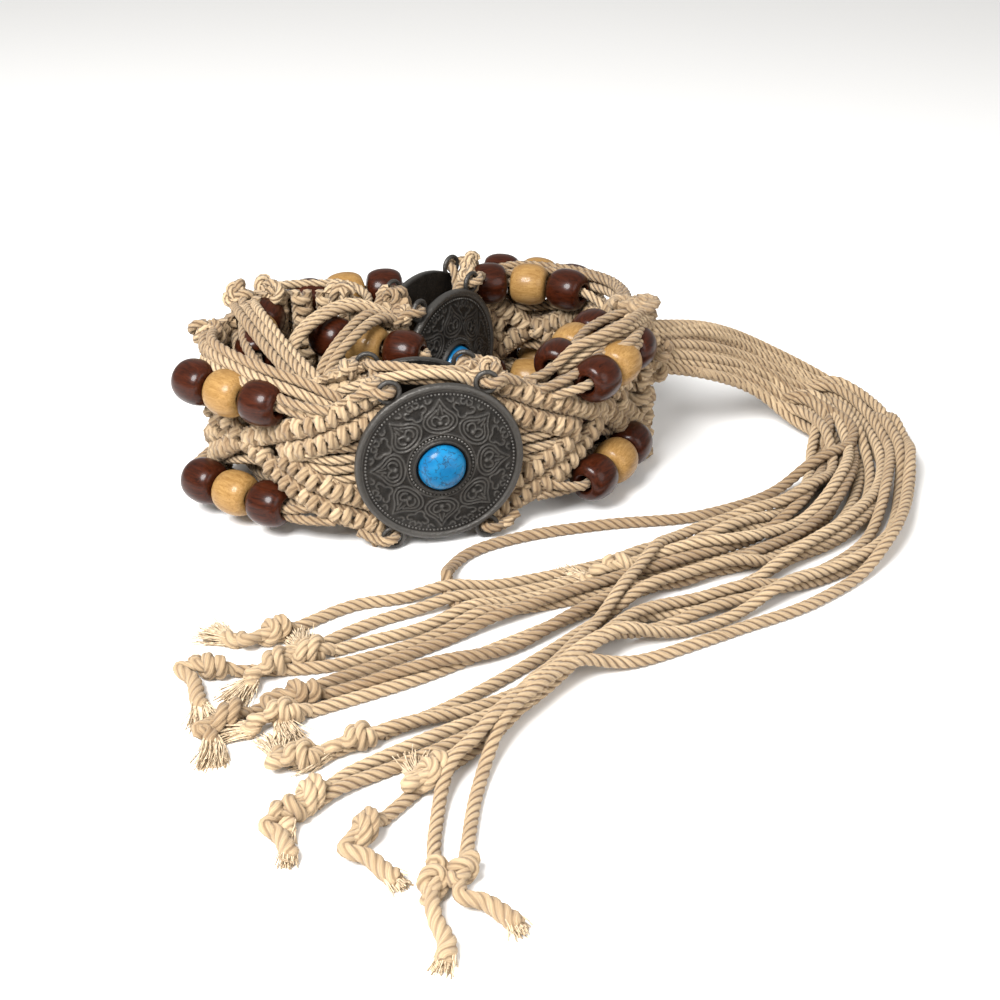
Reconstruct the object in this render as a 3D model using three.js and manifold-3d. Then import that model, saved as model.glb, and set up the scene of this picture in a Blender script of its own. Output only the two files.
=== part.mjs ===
// A knotted rope belt, doubled and stood on its edge in a ring, with its fringe lying beside it.
// Millimetres, +Z up. The origin is on the surface, in the middle of the ring.
import * as THREE from 'three';
import { mergeVertices } from 'three/addons/utils/BufferGeometryUtils.js';
import Module from 'manifold-3d';

const wasm = await Module();
wasm.setup();

// Cord
const cordWidth = 2.6;
const cordSides = 4;
const gap = 0.3;
const sliver = 0.03;

// Beads
const beadWidth = 11.6;
const beadLength = 10;
const beadBore = 4.4;
const beadSides = 9;
const beadOffset = 4;
const beadRowRise = 13.9;

// Conchos
const discWidth = 42;
const discSides = 14;
const discThickness = 1.9;
const domeRise = 1.5;
const bezelWidth = 15;
const bezelRise = 1.4;
const stoneWidth = 11.8;
const stoneRise = 4;
const stoneSides = 10;
const leafCount = 8;
const leafRise = 0.7;
const leafHalf = 3.4;
const ringWire = 1.2;
const ringBore = 4;
const ringSides = 6;
const wireSides = 5;
const ringAngle = THREE.MathUtils.degToRad(31);

// Band
const barThickness = 4.6;
const waistHalf = 2.9;
const standoff = barThickness / 2 + 0.7;
const ringReach = discWidth / 2 + ringBore / 2 + 0.1;
const ringOut = ringReach * Math.sin(ringAngle);
const ringUp = ringReach * Math.cos(ringAngle);
const middle = ringUp + ringBore / 2 + ringWire + 0.3;
const cordFlat = (cordWidth / 2) * Math.cos(Math.PI / cordSides);
const edgeRise = middle - cordFlat - sliver;
const barRise = edgeRise - 0.4;
const straightHalf = discWidth / 2 + 1;
const linkHalf = 4 * cordWidth;
const ringCentre = { x: -0.6, y: 1.7 };

// Where the two layers of the band run, seen from above. A station is a bead panel, a concho, a plain
// link or an end. Heading is the direction of travel in degrees, and bend is the turn of each outer bead.
const outerRoute = [
  { name: 'end', kind: 'end', x: 56.5, y: 3, heading: 250 },
  { name: 'right', kind: 'beads', x: 45, y: -16, heading: 241, bend: -7 },
  { name: 'front', kind: 'concho', x: 2.8, y: -41.1, heading: 194 },
  { name: 'left', kind: 'beads', x: -45.8, y: -32.2, heading: 146, bend: -5 },
  { name: 'corner', kind: 'link', x: -49.5, y: 2, heading: 66 },
  { name: 'back_left', kind: 'beads', x: -23.1, y: 25.2, heading: 20, bend: -12 },
  { name: 'back', kind: 'concho', x: 0, y: 22.8, heading: 50 },
  { name: 'back_right', kind: 'beads', x: 28, y: 42.4, heading: -22, bend: -12, drop: 2.4 },
  { name: 'fold', kind: 'end', x: 50.5, y: 3, heading: -105 },
];
const innerRoute = [
  { name: 'end', kind: 'end', x: 55, y: 1, heading: 215 },
  { name: 'right', kind: 'beads', x: 41.1, y: -8.8, heading: 243, bend: 5 },
  { name: 'front', kind: 'concho', x: -2, y: -34, heading: 183 },
  { name: 'left', kind: 'beads', x: -49.3, y: 0, heading: 92, bend: -9 },
  { name: 'corner', kind: 'link', x: -38, y: 14, heading: 0 },
  { name: 'back_left', kind: 'beads', x: -14, y: -3.4, heading: -26, bend: 6 },
  { name: 'back', kind: 'concho', x: 1, y: 14, heading: 56 },
  { name: 'back_right', kind: 'beads', x: 27.5, y: 36.8, heading: -12, bend: -20, drop: -1 },
  { name: 'fold', kind: 'end', x: 50.5, y: 3, heading: -100 },
];

// Moves a flat list of rings of points into one closed mesh, with a fan on each end.
function loft(rings) {
  const sides = rings[0].length;
  const points = rings.flat();
  const index = [];
  for (let ring = 0; ring < rings.length - 1; ring += 1) {
    for (let side = 0; side < sides; side += 1) {
      const a = ring * sides + side;
      const b = ring * sides + ((side + 1) % sides);
      index.push(a, b, b + sides, a, b + sides, a + sides);
    }
  }
  for (let side = 1; side < sides - 1; side += 1) {
    const last = points.length - sides;
    index.push(0, side + 1, side, last, last + side, last + side + 1);
  }
  const geometry = new THREE.BufferGeometry().setFromPoints(points);
  geometry.setIndex(index);
  return geometry;
}

// Six times the volume inside a mesh, negative where its faces point in.
function signedVolume(geometry) {
  const position = geometry.getAttribute('position');
  const corner = (i) => new THREE.Vector3().fromBufferAttribute(position, geometry.index.getX(i));
  let total = 0;
  for (let i = 0; i < geometry.index.count; i += 3) {
    total += corner(i).dot(corner(i + 1).cross(corner(i + 2)));
  }
  return total;
}

function toSolid(source) {
  const bare = source.clone();
  bare.deleteAttribute('normal');
  bare.deleteAttribute('uv');
  const geometry = mergeVertices(bare, 1e-4);
  const triVerts = Uint32Array.from(geometry.index.array);
  if (signedVolume(geometry) < 0) {
    for (let i = 0; i < triVerts.length; i += 3) {
      [triVerts[i], triVerts[i + 1]] = [triVerts[i + 1], triVerts[i]];
    }
  }
  const vertProperties = Float32Array.from(geometry.getAttribute('position').array);
  return new wasm.Manifold(new wasm.Mesh({ numProp: 3, vertProperties, triVerts }));
}

function toGeometry(solid) {
  const mesh = solid.getMesh();
  const geometry = new THREE.BufferGeometry();
  geometry.setAttribute('position', new THREE.BufferAttribute(mesh.vertProperties, 3));
  geometry.setIndex(new THREE.BufferAttribute(mesh.triVerts, 1));
  return geometry;
}

const join = (geometries) => geometries.map(toSolid).reduce((whole, next) => whole.add(next));

// The main body of a joined solid, without the crumbs and slivers that cuts and joins leave on it.
const mainBody = (solid) => {
  const [largest] = solid.decompose().sort((a, b) => b.volume() - a.volume());
  return largest.simplify(sliver);
};

// A tube through the points, with its own radius at each of them.
function cord(points, radii, sides = cordSides) {
  const up = new THREE.Vector3(0, 0, 1);
  const rings = points.map((point, i) => {
    const before = points[Math.max(i - 1, 0)];
    const after = points[Math.min(i + 1, points.length - 1)];
    const along = after.clone().sub(before).normalize();
    const across = new THREE.Vector3().crossVectors(along, up).normalize();
    const rise = new THREE.Vector3().crossVectors(across, along);
    const radius = Array.isArray(radii) ? radii[i] : radii;
    return Array.from({ length: sides }, (_, side) => {
      const angle = (2 * Math.PI * (side + 0.5)) / sides;
      return point
        .clone()
        .addScaledVector(across, radius * Math.cos(angle))
        .addScaledVector(rise, radius * Math.sin(angle));
    });
  });
  return loft(rings);
}

// One layer of the band: a flat path on the surface, with each station at a known distance along it.
class Layer {
  constructor(name, rows, side) {
    this.name = name;
    this.side = side;
    this.path = new THREE.CurvePath();
    const half = { concho: straightHalf, link: straightHalf / 2, beads: 0, end: 0 };
    let length = 0;
    let last = null;
    this.stations = rows.map((row) => {
      const heading = THREE.MathUtils.degToRad(row.heading);
      const along = new THREE.Vector3(Math.cos(heading), Math.sin(heading), 0);
      const centre = new THREE.Vector3(row.x, row.y, 0);
      const enter = centre.clone().addScaledVector(along, -half[row.kind]);
      const leave = centre.clone().addScaledVector(along, half[row.kind]);
      if (last) {
        const pull = enter.distanceTo(last.leave) * 0.4;
        const bow = new THREE.CubicBezierCurve3(
          last.leave,
          last.leave.clone().addScaledVector(last.along, pull),
          enter.clone().addScaledVector(along, -pull),
          enter,
        );
        this.path.add(bow);
        length += bow.getLength();
      }
      if (half[row.kind] > 0) {
        this.path.add(new THREE.LineCurve3(enter, leave));
      }
      const distance = length + half[row.kind];
      length += 2 * half[row.kind];
      last = { leave, along };
      return { ...row, along, distance };
    });
    this.length = this.path.getLength();
  }

  // The point at a distance along the path, moved out from its mid surface and up from the belt's middle.
  at(distance, out, rise) {
    const share = THREE.MathUtils.clamp(distance / this.length, 0, 1);
    const along = this.path.getTangent(share);
    const normal = new THREE.Vector3(-along.y, along.x, 0).multiplyScalar(this.side);
    return this.path.getPoint(share).addScaledVector(normal, out).setZ(middle + rise);
  }

  // How far from a station's centre the knotted bars start.
  barStart(station) {
    return { concho: ringOut + 1.5, link: straightHalf * 0.6, end: 2 }[station.kind];
  }
}

const layers = [new Layer('outer', outerRoute, 1), new Layer('inner', innerRoute, -1)];

// One layer of the strap. It is full height where the knotted bars of a panel start, narrows to a waist
// between the two bead rows, and is a flat strip of cords behind a concho or along a plain link.
function strap(layer) {
  const sections = [];
  const add = (distance, half, face) => sections.push({ distance, half, face });
  const addBar = (panel, neighbour) => {
    const side = Math.sign(neighbour.distance - panel.distance);
    const whole = Math.abs(neighbour.distance - panel.distance);
    const start = whole - layer.barStart(neighbour);
    const straight = neighbour.kind === 'concho' ? whole - straightHalf : 0;
    const reaches = [start, Math.max(straight, start / 2), start / 3].filter((reach) => reach > 0);
    (side < 0 ? reaches : reaches.reverse()).forEach((reach) => {
      const half = THREE.MathUtils.lerp(waistHalf, barRise, reach / start);
      add(panel.distance + side * reach, half, barThickness / 2);
    });
  };
  layer.stations.forEach((station, index) => {
    const { kind, distance } = station;
    if (kind === 'end') {
      add(distance, barRise, barThickness / 2);
    } else if (kind === 'beads') {
      addBar(station, layer.stations[index - 1]);
      add(distance, waistHalf, barThickness / 2);
      addBar(station, layer.stations[index + 1]);
    } else {
      const reach = layer.barStart(station) - 1;
      const places = kind === 'link' ? [-reach, 0, reach] : [-reach, reach];
      places.forEach((along) => add(distance + along, linkHalf, cordWidth / 2));
    }
  });
  return loft(
    sections.map(({ distance, half, face }) =>
      [
        [0, half],
        [face, half * 0.8],
        [face, -half * 0.8],
        [0, -half],
        [-face, -half * 0.8],
        [-face, half * 0.8],
      ].map(([out, rise]) => layer.at(distance, out, rise)),
    ),
  );
}

// The three beads of a row hang in a short chain of straight links. Each has its middle, axis and shade.
function beadRow(layer, panel, flip) {
  const turn = THREE.MathUtils.degToRad(panel.bend);
  const pitch = beadLength + 0.5 + beadWidth * 0.5 * Math.abs(Math.tan(turn / 2));
  const along = panel.along;
  const rise = flip * beadRowRise - (flip > 0 ? panel.drop ?? 0 : 0);
  const centre = layer.at(panel.distance, beadOffset, rise);
  const up = new THREE.Vector3(0, 0, 1);
  return [-1, 0, 1].map((place) => {
    const axis = along.clone().applyAxisAngle(up, place * turn);
    const middleOfLink = centre
      .clone()
      .addScaledVector(along, (place * pitch) / 2)
      .addScaledVector(axis, (place * pitch) / 2);
    return { place, axis, centre: place === 0 ? centre : middleOfLink, pitch };
  });
}

// The cord that the three beads of a row are strung on. It runs on into the strap where the strap goes
// straight on past the row, and otherwise ends just past the last bead.
function beadString(layer, panel, flip, beads) {
  const reach = beads[0].pitch * 1.5 + beadLength * 0.55;
  const linkEnd = (bead, place) => bead.centre.clone().addScaledVector(bead.axis, (place * bead.pitch) / 2);
  const anchor = (bead, place) => {
    const end = linkEnd(bead, place);
    const rise = flip * (beadRowRise - 0.8 * cordWidth);
    const inStrap = layer.at(panel.distance + place * reach, cordWidth / 2, rise);
    const ahead = inStrap.clone().sub(end).dot(bead.axis) * place;
    return ahead > cordWidth / 2 ? inStrap : end.addScaledVector(bead.axis, place);
  };
  const points = [
    anchor(beads[0], -1),
    linkEnd(beads[0], -1),
    linkEnd(beads[1], -1),
    linkEnd(beads[1], 1),
    linkEnd(beads[2], 1),
    anchor(beads[2], 1),
  ];
  return cord(points, cordWidth / 2);
}

// A barrel from its shoulder to the rim of its bore, as shares of its half width and its length.
const shoulder = { radius: 1, along: 0.25 };

function beadGeometry() {
  const profile = [
    new THREE.Vector2(beadBore / 2, beadLength / 2),
    new THREE.Vector2((beadWidth / 2) * shoulder.radius, beadLength * shoulder.along),
    new THREE.Vector2((beadWidth / 2) * shoulder.radius, -beadLength * shoulder.along),
    new THREE.Vector2(beadBore / 2, -beadLength / 2),
  ];
  return toGeometry(toSolid(new THREE.LatheGeometry([...profile, profile[0]], beadSides)));
}

// The room that a row of beads needs in the bars: a box round the whole row, wider where the row bows.
function rowRoom(beads) {
  const half = beadWidth / 2 + 2 * gap;
  const ends = [beads[0], beads[2]].map(({ centre, axis, place, pitch }) =>
    centre.clone().addScaledVector(axis, place * (pitch / 2 + gap)),
  );
  const bow = new THREE.Line3(...ends)
    .closestPointToPoint(beads[1].centre, true, new THREE.Vector3())
    .distanceTo(beads[1].centre);
  const across = ends[1].clone().sub(ends[0]).normalize().cross(new THREE.Vector3(0, 0, 1));
  const corners = [
    [-half - bow, -half],
    [half + bow, -half],
    [half + bow, half],
    [-half - bow, half],
  ];
  return loft(
    ends.map((end) =>
      corners.map(([out, rise]) => end.clone().addScaledVector(across, out).setZ(end.z + rise)),
    ),
  );
}

// The cord along an edge: over the beads, through the wire loops and behind the conchos.
function edgeCord(layer, flip) {
  const points = [];
  const add = (distance, out, rise) => points.push(layer.at(distance, out, flip * rise));
  for (const station of layer.stations) {
    const { kind, distance } = station;
    if (kind === 'beads') {
      const behind = station.drop < 0 ? -beadOffset : 0;
      const places = Math.abs(station.bend) > 10 ? [-beadLength * 1.4, 0, beadLength * 1.4] : [0];
      places.forEach((along) => add(distance + along, behind, edgeRise));
    } else if (kind === 'concho') {
      const through = standoff + ringWire / 2;
      const passes = [
        { along: ringOut + 1.4, out: through + 3, rise: ringUp },
        { along: ringOut - 1.4, out: through - 3.2, rise: ringUp },
      ];
      passes.forEach(({ along, out, rise }) => add(distance - along, out, rise));
      passes.reverse().forEach(({ along, out, rise }) => add(distance + along, out, rise));
    } else {
      add(distance, 0, edgeRise - 1.4);
    }
  }
  return cord(points, cordWidth / 2);
}

// The upright knots that the band's ends and its fold close on.
function endKnots() {
  const posts = [outerRoute[0], innerRoute[0], outerRoute.at(-1)];
  return posts.map(({ x, y }) => {
    const heights = [0, 4, middle, 2 * middle - 4, 2 * middle];
    const widths = [3, 4.4, 3.8, 4.4, 3];
    return loft(
      heights.map((z, ring) =>
        Array.from({ length: 6 }, (_, side) => {
          const angle = (2 * Math.PI * side) / 6;
          return new THREE.Vector3(x + widths[ring] * Math.cos(angle), y + widths[ring] * Math.sin(angle), z);
        }),
      ),
    );
  });
}

// Where a concho sits on the strap: its back plane's middle, and the turn from the concho's own axes,
// which run along the belt, outwards and up.
function seat(layer, station) {
  const origin = layer.at(station.distance, standoff, 0);
  const facing = layer.at(station.distance, standoff + 1, 0).sub(origin);
  const across = new THREE.Vector3(facing.y, -facing.x, 0);
  const up = new THREE.Vector3(0, 0, 1);
  const basis = new THREE.Matrix4().makeBasis(across, facing, up);
  return { origin, turn: new THREE.Quaternion().setFromRotationMatrix(basis) };
}

const conchoStations = layers.flatMap((layer) =>
  layer.stations.filter(({ kind }) => kind === 'concho').map((station) => ({ layer, station })),
);

const rows = layers.flatMap((layer) =>
  layer.stations
    .filter(({ kind }) => kind === 'beads')
    .flatMap((panel) =>
      [
        { edge: 'top', flip: 1 },
        { edge: 'bottom', flip: -1 },
      ].map(({ edge, flip }) => ({ layer, panel, edge, flip, beads: beadRow(layer, panel, flip) })),
    ),
);

// The room that a concho needs where the strap bends sharply beside it.
function conchoRoom(layer, station) {
  const radius = discWidth / 2 + gap;
  const depth = discThickness + domeRise;
  const profile = [
    new THREE.Vector2(0, -gap),
    new THREE.Vector2(radius, -gap),
    new THREE.Vector2(radius, depth),
    new THREE.Vector2(0, depth),
  ];
  const { origin, turn } = seat(layer, station);
  const drum = new THREE.LatheGeometry(profile, discSides).applyQuaternion(turn);
  return drum.translate(origin.x, origin.y, origin.z);
}

function bandGeometry() {
  const discs = conchoStations.map(({ layer, station }) => conchoRoom(layer, station));
  const room = join([...rows.map(({ beads }) => rowRoom(beads)), ...discs]);
  const edges = layers.flatMap((layer) => [edgeCord(layer, 1), edgeCord(layer, -1)]);
  const strings = rows.map(({ layer, panel, flip, beads }) => beadString(layer, panel, flip, beads));
  const straps = join([...layers.map(strap), ...endKnots()]).subtract(room);
  return toGeometry(mainBody(straps.add(join([...edges, ...strings]))));
}

// A concho seen from its back plane outwards: the disc with its rolled rim, dome and bezel.
const discProfile = [
  { radius: 0, out: 0 },
  { radius: discWidth / 2 - 0.4, out: 0 },
  { radius: discWidth / 2 - 0.4, out: discThickness },
  { radius: discWidth / 2 - 2.2, out: discThickness * 0.7 },
  { radius: bezelWidth / 2, out: discThickness + domeRise },
  { radius: bezelWidth / 2 - 0.5, out: discThickness + domeRise + bezelRise },
  { radius: stoneWidth / 2 + gap, out: discThickness + domeRise + bezelRise },
  { radius: stoneWidth / 2 + gap, out: discThickness + domeRise - 0.2 },
  { radius: 0, out: discThickness + domeRise - 0.2 },
];

// Leaves in a ring on the dome, each a low pyramid.
function leaf(index) {
  const inner = bezelWidth / 2 + 2;
  const outer = discWidth / 2 - 4;
  const mid = (inner + outer) / 2;
  const slope = domeRise / (discWidth / 2 - 2.2 - bezelWidth / 2);
  const height = (radius) => discThickness + domeRise - slope * (radius - bezelWidth / 2);
  const turn = (2 * Math.PI * (index + 0.5)) / leafCount;
  const place = (radius, across, lift) =>
    new THREE.Vector3(radius, height(radius) + lift, across).applyAxisAngle(new THREE.Vector3(0, 1, 0), turn);
  const base = [
    place(inner, 0, -0.3),
    place(mid, leafHalf, -0.3),
    place(outer, 0, -0.3),
    place(mid, -leafHalf, -0.3),
  ];
  const peak = place(mid, 0, leafRise);
  const geometry = new THREE.BufferGeometry().setFromPoints([...base, peak]);
  geometry.setIndex([0, 1, 4, 1, 2, 4, 2, 3, 4, 3, 0, 4, 0, 2, 1, 0, 3, 2]);
  return geometry;
}

function conchoGeometry() {
  const disc = new THREE.LatheGeometry(
    discProfile.map(({ radius, out }) => new THREE.Vector2(radius, out)),
    discSides,
  );
  const rings = [ringAngle, Math.PI - ringAngle, Math.PI + ringAngle, -ringAngle].map((angle) =>
    new THREE.TorusGeometry((ringBore + ringWire) / 2, ringWire / 2, wireSides, ringSides)
      .rotateX(Math.PI / 2)
      .translate(ringReach * Math.sin(angle), ringWire / 2, ringReach * Math.cos(angle)),
  );
  const leaves = Array.from({ length: leafCount }, (_, index) => leaf(index));
  return toGeometry(join([disc, ...rings, ...leaves]));
}

function stoneGeometry() {
  const seat = discThickness + domeRise - 0.2 + gap;
  const profile = [
    new THREE.Vector2(0, seat),
    new THREE.Vector2(stoneWidth / 2, seat),
    new THREE.Vector2((stoneWidth / 2) * 0.94, seat + stoneRise * 0.5),
    new THREE.Vector2((stoneWidth / 2) * 0.6, seat + stoneRise * 0.88),
    new THREE.Vector2(0, seat + stoneRise),
  ];
  return toGeometry(toSolid(new THREE.LatheGeometry(profile, stoneSides)));
}

// The fringe. All strands leave the end knots together, sweep round in one bundle and part near their
// ends. Each section of the bundle runs from its inner to its outer edge, with the height of each.
const strandWidth = 3;
const headStart = outerRoute[0].x + 4.4 + gap;
const headLength = 6;
const bundleThickness = 6.5;
const lockCount = 4;
const knotWidth = 8;
const bundle = [
  { inner: [headStart + 2, 6, 22], outer: [headStart + 2, 1, 38] },
  { inner: [75, 12, 17], outer: [75, 18, 31] },
  { inner: [91, 18, 8], outer: [93, 33, 18] },
  { inner: [100, 10, 0], outer: [119, 35, 2] },
  { inner: [102, -4, 0], outer: [129, 6, 0] },
  { inner: [99, -18, 0], outer: [126, -21, 0] },
  { inner: [90, -30, 0], outer: [114, -52, 0] },
  { inner: [69, -43, 0], outer: [93, -74, 0] },
  { inner: [56, -49, 0], outer: [73, -88, 0] },
  { inner: [42, -57, 0], outer: [52, -98, 0] },
  { inner: [18, -67, 0], outer: [34, -112, 0] },
];

// Where each strand goes once it leaves the bundle. The lane runs from 0 at the bundle's inner edge to 1
// at its outer edge. The way holds points on the surface up to the knot, and the tail goes on from there.
const strands = [
  { lane: 0.05, way: [[-8, -74], [-29, -86]], tail: [-43, -90] },
  { lane: 0.13, way: [[-5, -80], [-27, -98]], tail: [-33, -105] },
  { lane: 0.21, way: [[-19, -95]], tail: [-26, -93] },
  { lane: 0.29, way: [[-12, -98], [-40, -103]], tail: [-45, -117] },
  { lane: 0.37, way: [[-6, -99], [-35, -119]], tail: [-41, -130] },
  { lane: 0.45, way: [[0, -106], [-22, -118]], tail: [-30, -120] },
  { lane: 0.49, way: [[-20, -112]], tail: [-27, -125] },
  { lane: 0.56, way: [[-6, -126]], tail: [-15, -128] },
  { lane: 0.63, way: [[-17, -133]], tail: [-27, -132] },
  { lane: 0.7, way: [[4, -127], [-15, -143]], tail: [-23, -150] },
  { lane: 0.75, way: [[-18, -149]], tail: [-19, -158] },
  { lane: 0.83, way: [[4, -142], [-7, -159]], tail: [1, -168] },
  { lane: 0.88, way: [[8, -138]], tail: [2, -139] },
  { lane: 0.95, way: [[18, -130], [12, -165]], tail: [22, -181] },
  { lane: 0.2, way: [[8, -75]], tail: [3, -66] },
  { lane: 0.91, way: [[14, -133], [6, -168]], tail: [8, -190] },
  { lane: 0.2, leaves: 4, way: [[70, -33], [44, -38], [11, -52], [8, -68]], tail: [20, -75] },
];

const onSurface = ([x, y, rise = 0]) => new THREE.Vector3(x, y, strandWidth / 2 + rise);

// The locks of the bundle, fused side by side: one body with a ridge along each lock and a flat underside.
function bundleLocks() {
  const middles = bundle.map(({ inner, outer }) => onSurface(inner).lerp(onSurface(outer), 0.5));
  const rings = bundle.map(({ inner, outer }, index) => {
    const from = onSurface(inner);
    const to = onSurface(outer);
    const along = middles[Math.min(index + 1, middles.length - 1)]
      .clone()
      .sub(middles[Math.max(index - 1, 0)])
      .normalize();
    const face = new THREE.Vector3().crossVectors(along, to.clone().sub(from)).normalize();
    const top = Array.from({ length: 2 * lockCount + 1 }, (_, step) => {
      const ridge = step % 2 === 1 ? 1 : 0.72;
      const lift = step === 0 || step === 2 * lockCount ? 0.2 : ridge;
      return from
        .clone()
        .lerp(to, step / (2 * lockCount))
        .addScaledVector(face, bundleThickness * lift - strandWidth / 2);
    });
    const bottom = [0.94, 0.06].map((share) =>
      from
        .clone()
        .lerp(to, share)
        .addScaledVector(face, -strandWidth / 2),
    );
    return [...top, ...bottom];
  });
  return loft(rings);
}

// The end of one strand, from inside the bundle to its knot and tail.
function strandEnd({ lane, leaves = bundle.length - 1, way, tail }) {
  const { inner, outer } = bundle[leaves];
  const points = [onSurface(inner).lerp(onSurface(outer), lane), ...way.map(onSurface), onSurface(tail)];
  const knot = way.length + 1;
  const [before, at] = points.slice(knot - 2, knot);
  points.splice(knot - 1, 0, at.clone().sub(before).setLength(-knotWidth * 0.7).add(at));
  const radii = points.map((_, index) => (index === knot ? knotWidth / 2 : (strandWidth / 2) * 1.16));
  points.forEach((point, index) => point.setZ(radii[index] * Math.cos(Math.PI / cordSides)));
  return cord(points, radii);
}

// The knot that the strands hang from, close beside the band's end knots.
function fringeHead() {
  const sections = [
    { along: 0, half: 2.4 },
    { along: 0.5, half: 4.2 },
    { along: 1, half: 3.2 },
  ];
  const [from, to] = [bundle[0].inner, bundle[0].outer].map(onSurface);
  return loft(
    sections.map(({ along, half }) =>
      [
        [-half, from.z - half],
        [half, from.z - half],
        [half, to.z + half],
        [-half, to.z + half],
      ].map(([across, z]) => {
        const x = headStart + along * headLength;
        return new THREE.Vector3(x, (from.y + to.y) / 2 + across, z);
      }),
    ),
  );
}

function fringeGeometry() {
  return toGeometry(mainBody(join([fringeHead(), bundleLocks(), ...strands.map(strandEnd)])));
}

// Materials
const cotton = new THREE.MeshStandardMaterial({ color: '#cdb089', roughness: 0.95, metalness: 0 });
const darkWood = new THREE.MeshStandardMaterial({ color: '#4a1a12', roughness: 0.3, metalness: 0 });
const lightWood = new THREE.MeshStandardMaterial({ color: '#d9aa5c', roughness: 0.4, metalness: 0 });
const gunmetal = new THREE.MeshStandardMaterial({ color: '#34322f', roughness: 0.5, metalness: 0.85 });
const turquoise = new THREE.MeshStandardMaterial({ color: '#2a93d6', roughness: 0.2, metalness: 0 });

const belt = new THREE.Group();
belt.position.set(-ringCentre.x, -ringCentre.y, 0);

function addMesh(name, geometry, material, parent = belt) {
  const mesh = new THREE.Mesh(geometry, material);
  mesh.name = name;
  parent.add(mesh);
  return mesh;
}

addMesh('knotted_band', bandGeometry(), cotton);

for (const { layer, panel, edge, beads } of rows) {
  for (const bead of beads) {
    const place = ['before', 'middle', 'after'][bead.place + 1];
    const name = `bead_${layer.name}_${panel.name}_${edge}_${place}`;
    const mesh = addMesh(name, beadGeometry(), bead.place === 0 ? lightWood : darkWood);
    mesh.quaternion.setFromUnitVectors(new THREE.Vector3(0, 1, 0), bead.axis);
    mesh.position.copy(bead.centre);
  }
}

for (const { layer, station } of conchoStations) {
  const { origin, turn } = seat(layer, station);
  const concho = new THREE.Group();
  concho.position.copy(origin);
  concho.quaternion.copy(turn);
  belt.add(concho);
  addMesh(`concho_${layer.name}_${station.name}`, conchoGeometry(), gunmetal, concho);
  addMesh(`stone_${layer.name}_${station.name}`, stoneGeometry(), turquoise, concho);
}

addMesh('fringe', fringeGeometry(), cotton);

export default belt;
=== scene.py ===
# A knotted rope belt with conchos, wooden beads and a long fringe, coiled on its edge on a pale floor.
import math

import bpy
import numpy as np
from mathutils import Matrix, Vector, kdtree


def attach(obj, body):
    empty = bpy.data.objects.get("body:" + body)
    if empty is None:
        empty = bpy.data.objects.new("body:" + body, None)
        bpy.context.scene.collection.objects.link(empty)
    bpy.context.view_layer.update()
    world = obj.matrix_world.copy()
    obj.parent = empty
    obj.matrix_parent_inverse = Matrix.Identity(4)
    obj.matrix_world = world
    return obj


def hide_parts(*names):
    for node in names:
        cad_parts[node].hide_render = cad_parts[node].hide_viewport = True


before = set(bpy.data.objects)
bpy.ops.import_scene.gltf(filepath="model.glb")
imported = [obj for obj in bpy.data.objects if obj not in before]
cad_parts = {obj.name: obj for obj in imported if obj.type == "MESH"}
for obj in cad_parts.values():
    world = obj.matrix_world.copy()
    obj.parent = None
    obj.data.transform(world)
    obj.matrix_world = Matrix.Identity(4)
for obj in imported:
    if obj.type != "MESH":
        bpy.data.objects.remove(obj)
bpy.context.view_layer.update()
print("frame loaded:", len(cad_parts), "nodes")

mm = 0.001
up = np.array([0.0, 0.0, 1.0])
ringCentre = np.array([-0.6, 1.7, 0.0])  # the middle of the ring on the routes' own plan


def unit(v):
    return v / np.maximum(np.linalg.norm(v, axis=-1, keepdims=True), 1e-9)


def addObject(name, data):
    thing = bpy.data.objects.new(name, data)
    bpy.context.collection.objects.link(thing)
    return thing


# Camera
cameraView = {
    "place": (19.1, -422.7, 221.0),
    "down": 29.0,
    "lens": 62.75,
}


def makeCamera():
    data = bpy.data.cameras.new("camera")
    data.lens = cameraView["lens"]
    data.sensor_width = 36
    data.clip_start, data.clip_end = 0.01, 50
    camera = addObject("camera", data)
    camera.location = Vector(cameraView["place"]) * mm
    camera.rotation_euler = (math.radians(90 - cameraView["down"]), 0, 0)
    bpy.context.scene.camera = camera


makeCamera()
print("camera set")


# Material helpers
def newMaterial(name, values):
    material = bpy.data.materials.new(name)
    material.use_nodes = True
    shader = material.node_tree.nodes["Principled BSDF"]
    for key, value in values.items():
        shader.inputs[key].default_value = value
    return material, material.node_tree, shader


def connect(tree, shader, sockets):
    for key, value in sockets.items():
        tree.links.new(value, shader.inputs[key])


def addNode(tree, kind, inputs=None, **settings):
    node = tree.nodes.new(kind)
    for key, value in settings.items():
        setattr(node, key, value)
    for key, value in (inputs or {}).items():
        if isinstance(value, bpy.types.NodeSocket):
            tree.links.new(value, node.inputs[key])
        else:
            node.inputs[key].default_value = value
    return node


def mathNode(tree, operation, a, b=0.0):
    return addNode(tree, "ShaderNodeMath", {0: a, 1: b}, operation=operation).outputs[0]


def times(tree, a, b):
    return mathNode(tree, "MULTIPLY", a, b)


def weighted(tree, *parts):
    # the sum of the parts, each a value and its weight
    total = 0.0
    for value, weight in parts:
        total = mathNode(tree, "ADD", total, times(tree, value, weight))
    return total


def scaledVector(tree, vector, scale):
    return addNode(tree, "ShaderNodeVectorMath", {0: vector, "Scale": scale}, operation="SCALE").outputs[0]


def stretched(tree, vector, scale):
    return addNode(tree, "ShaderNodeMapping", {"Vector": vector, "Scale": scale}).outputs[0]


def attribute(tree, name, output="Fac"):
    return addNode(tree, "ShaderNodeAttribute", attribute_name=name).outputs[output]


def noise(tree, vector, scale, detail=2.0, roughness=0.5, distortion=0.0, output="Fac"):
    inputs = {"Vector": vector, "Scale": scale, "Detail": detail, "Roughness": roughness, "Distortion": distortion}
    return addNode(tree, "ShaderNodeTexNoise", inputs).outputs[output]


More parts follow.
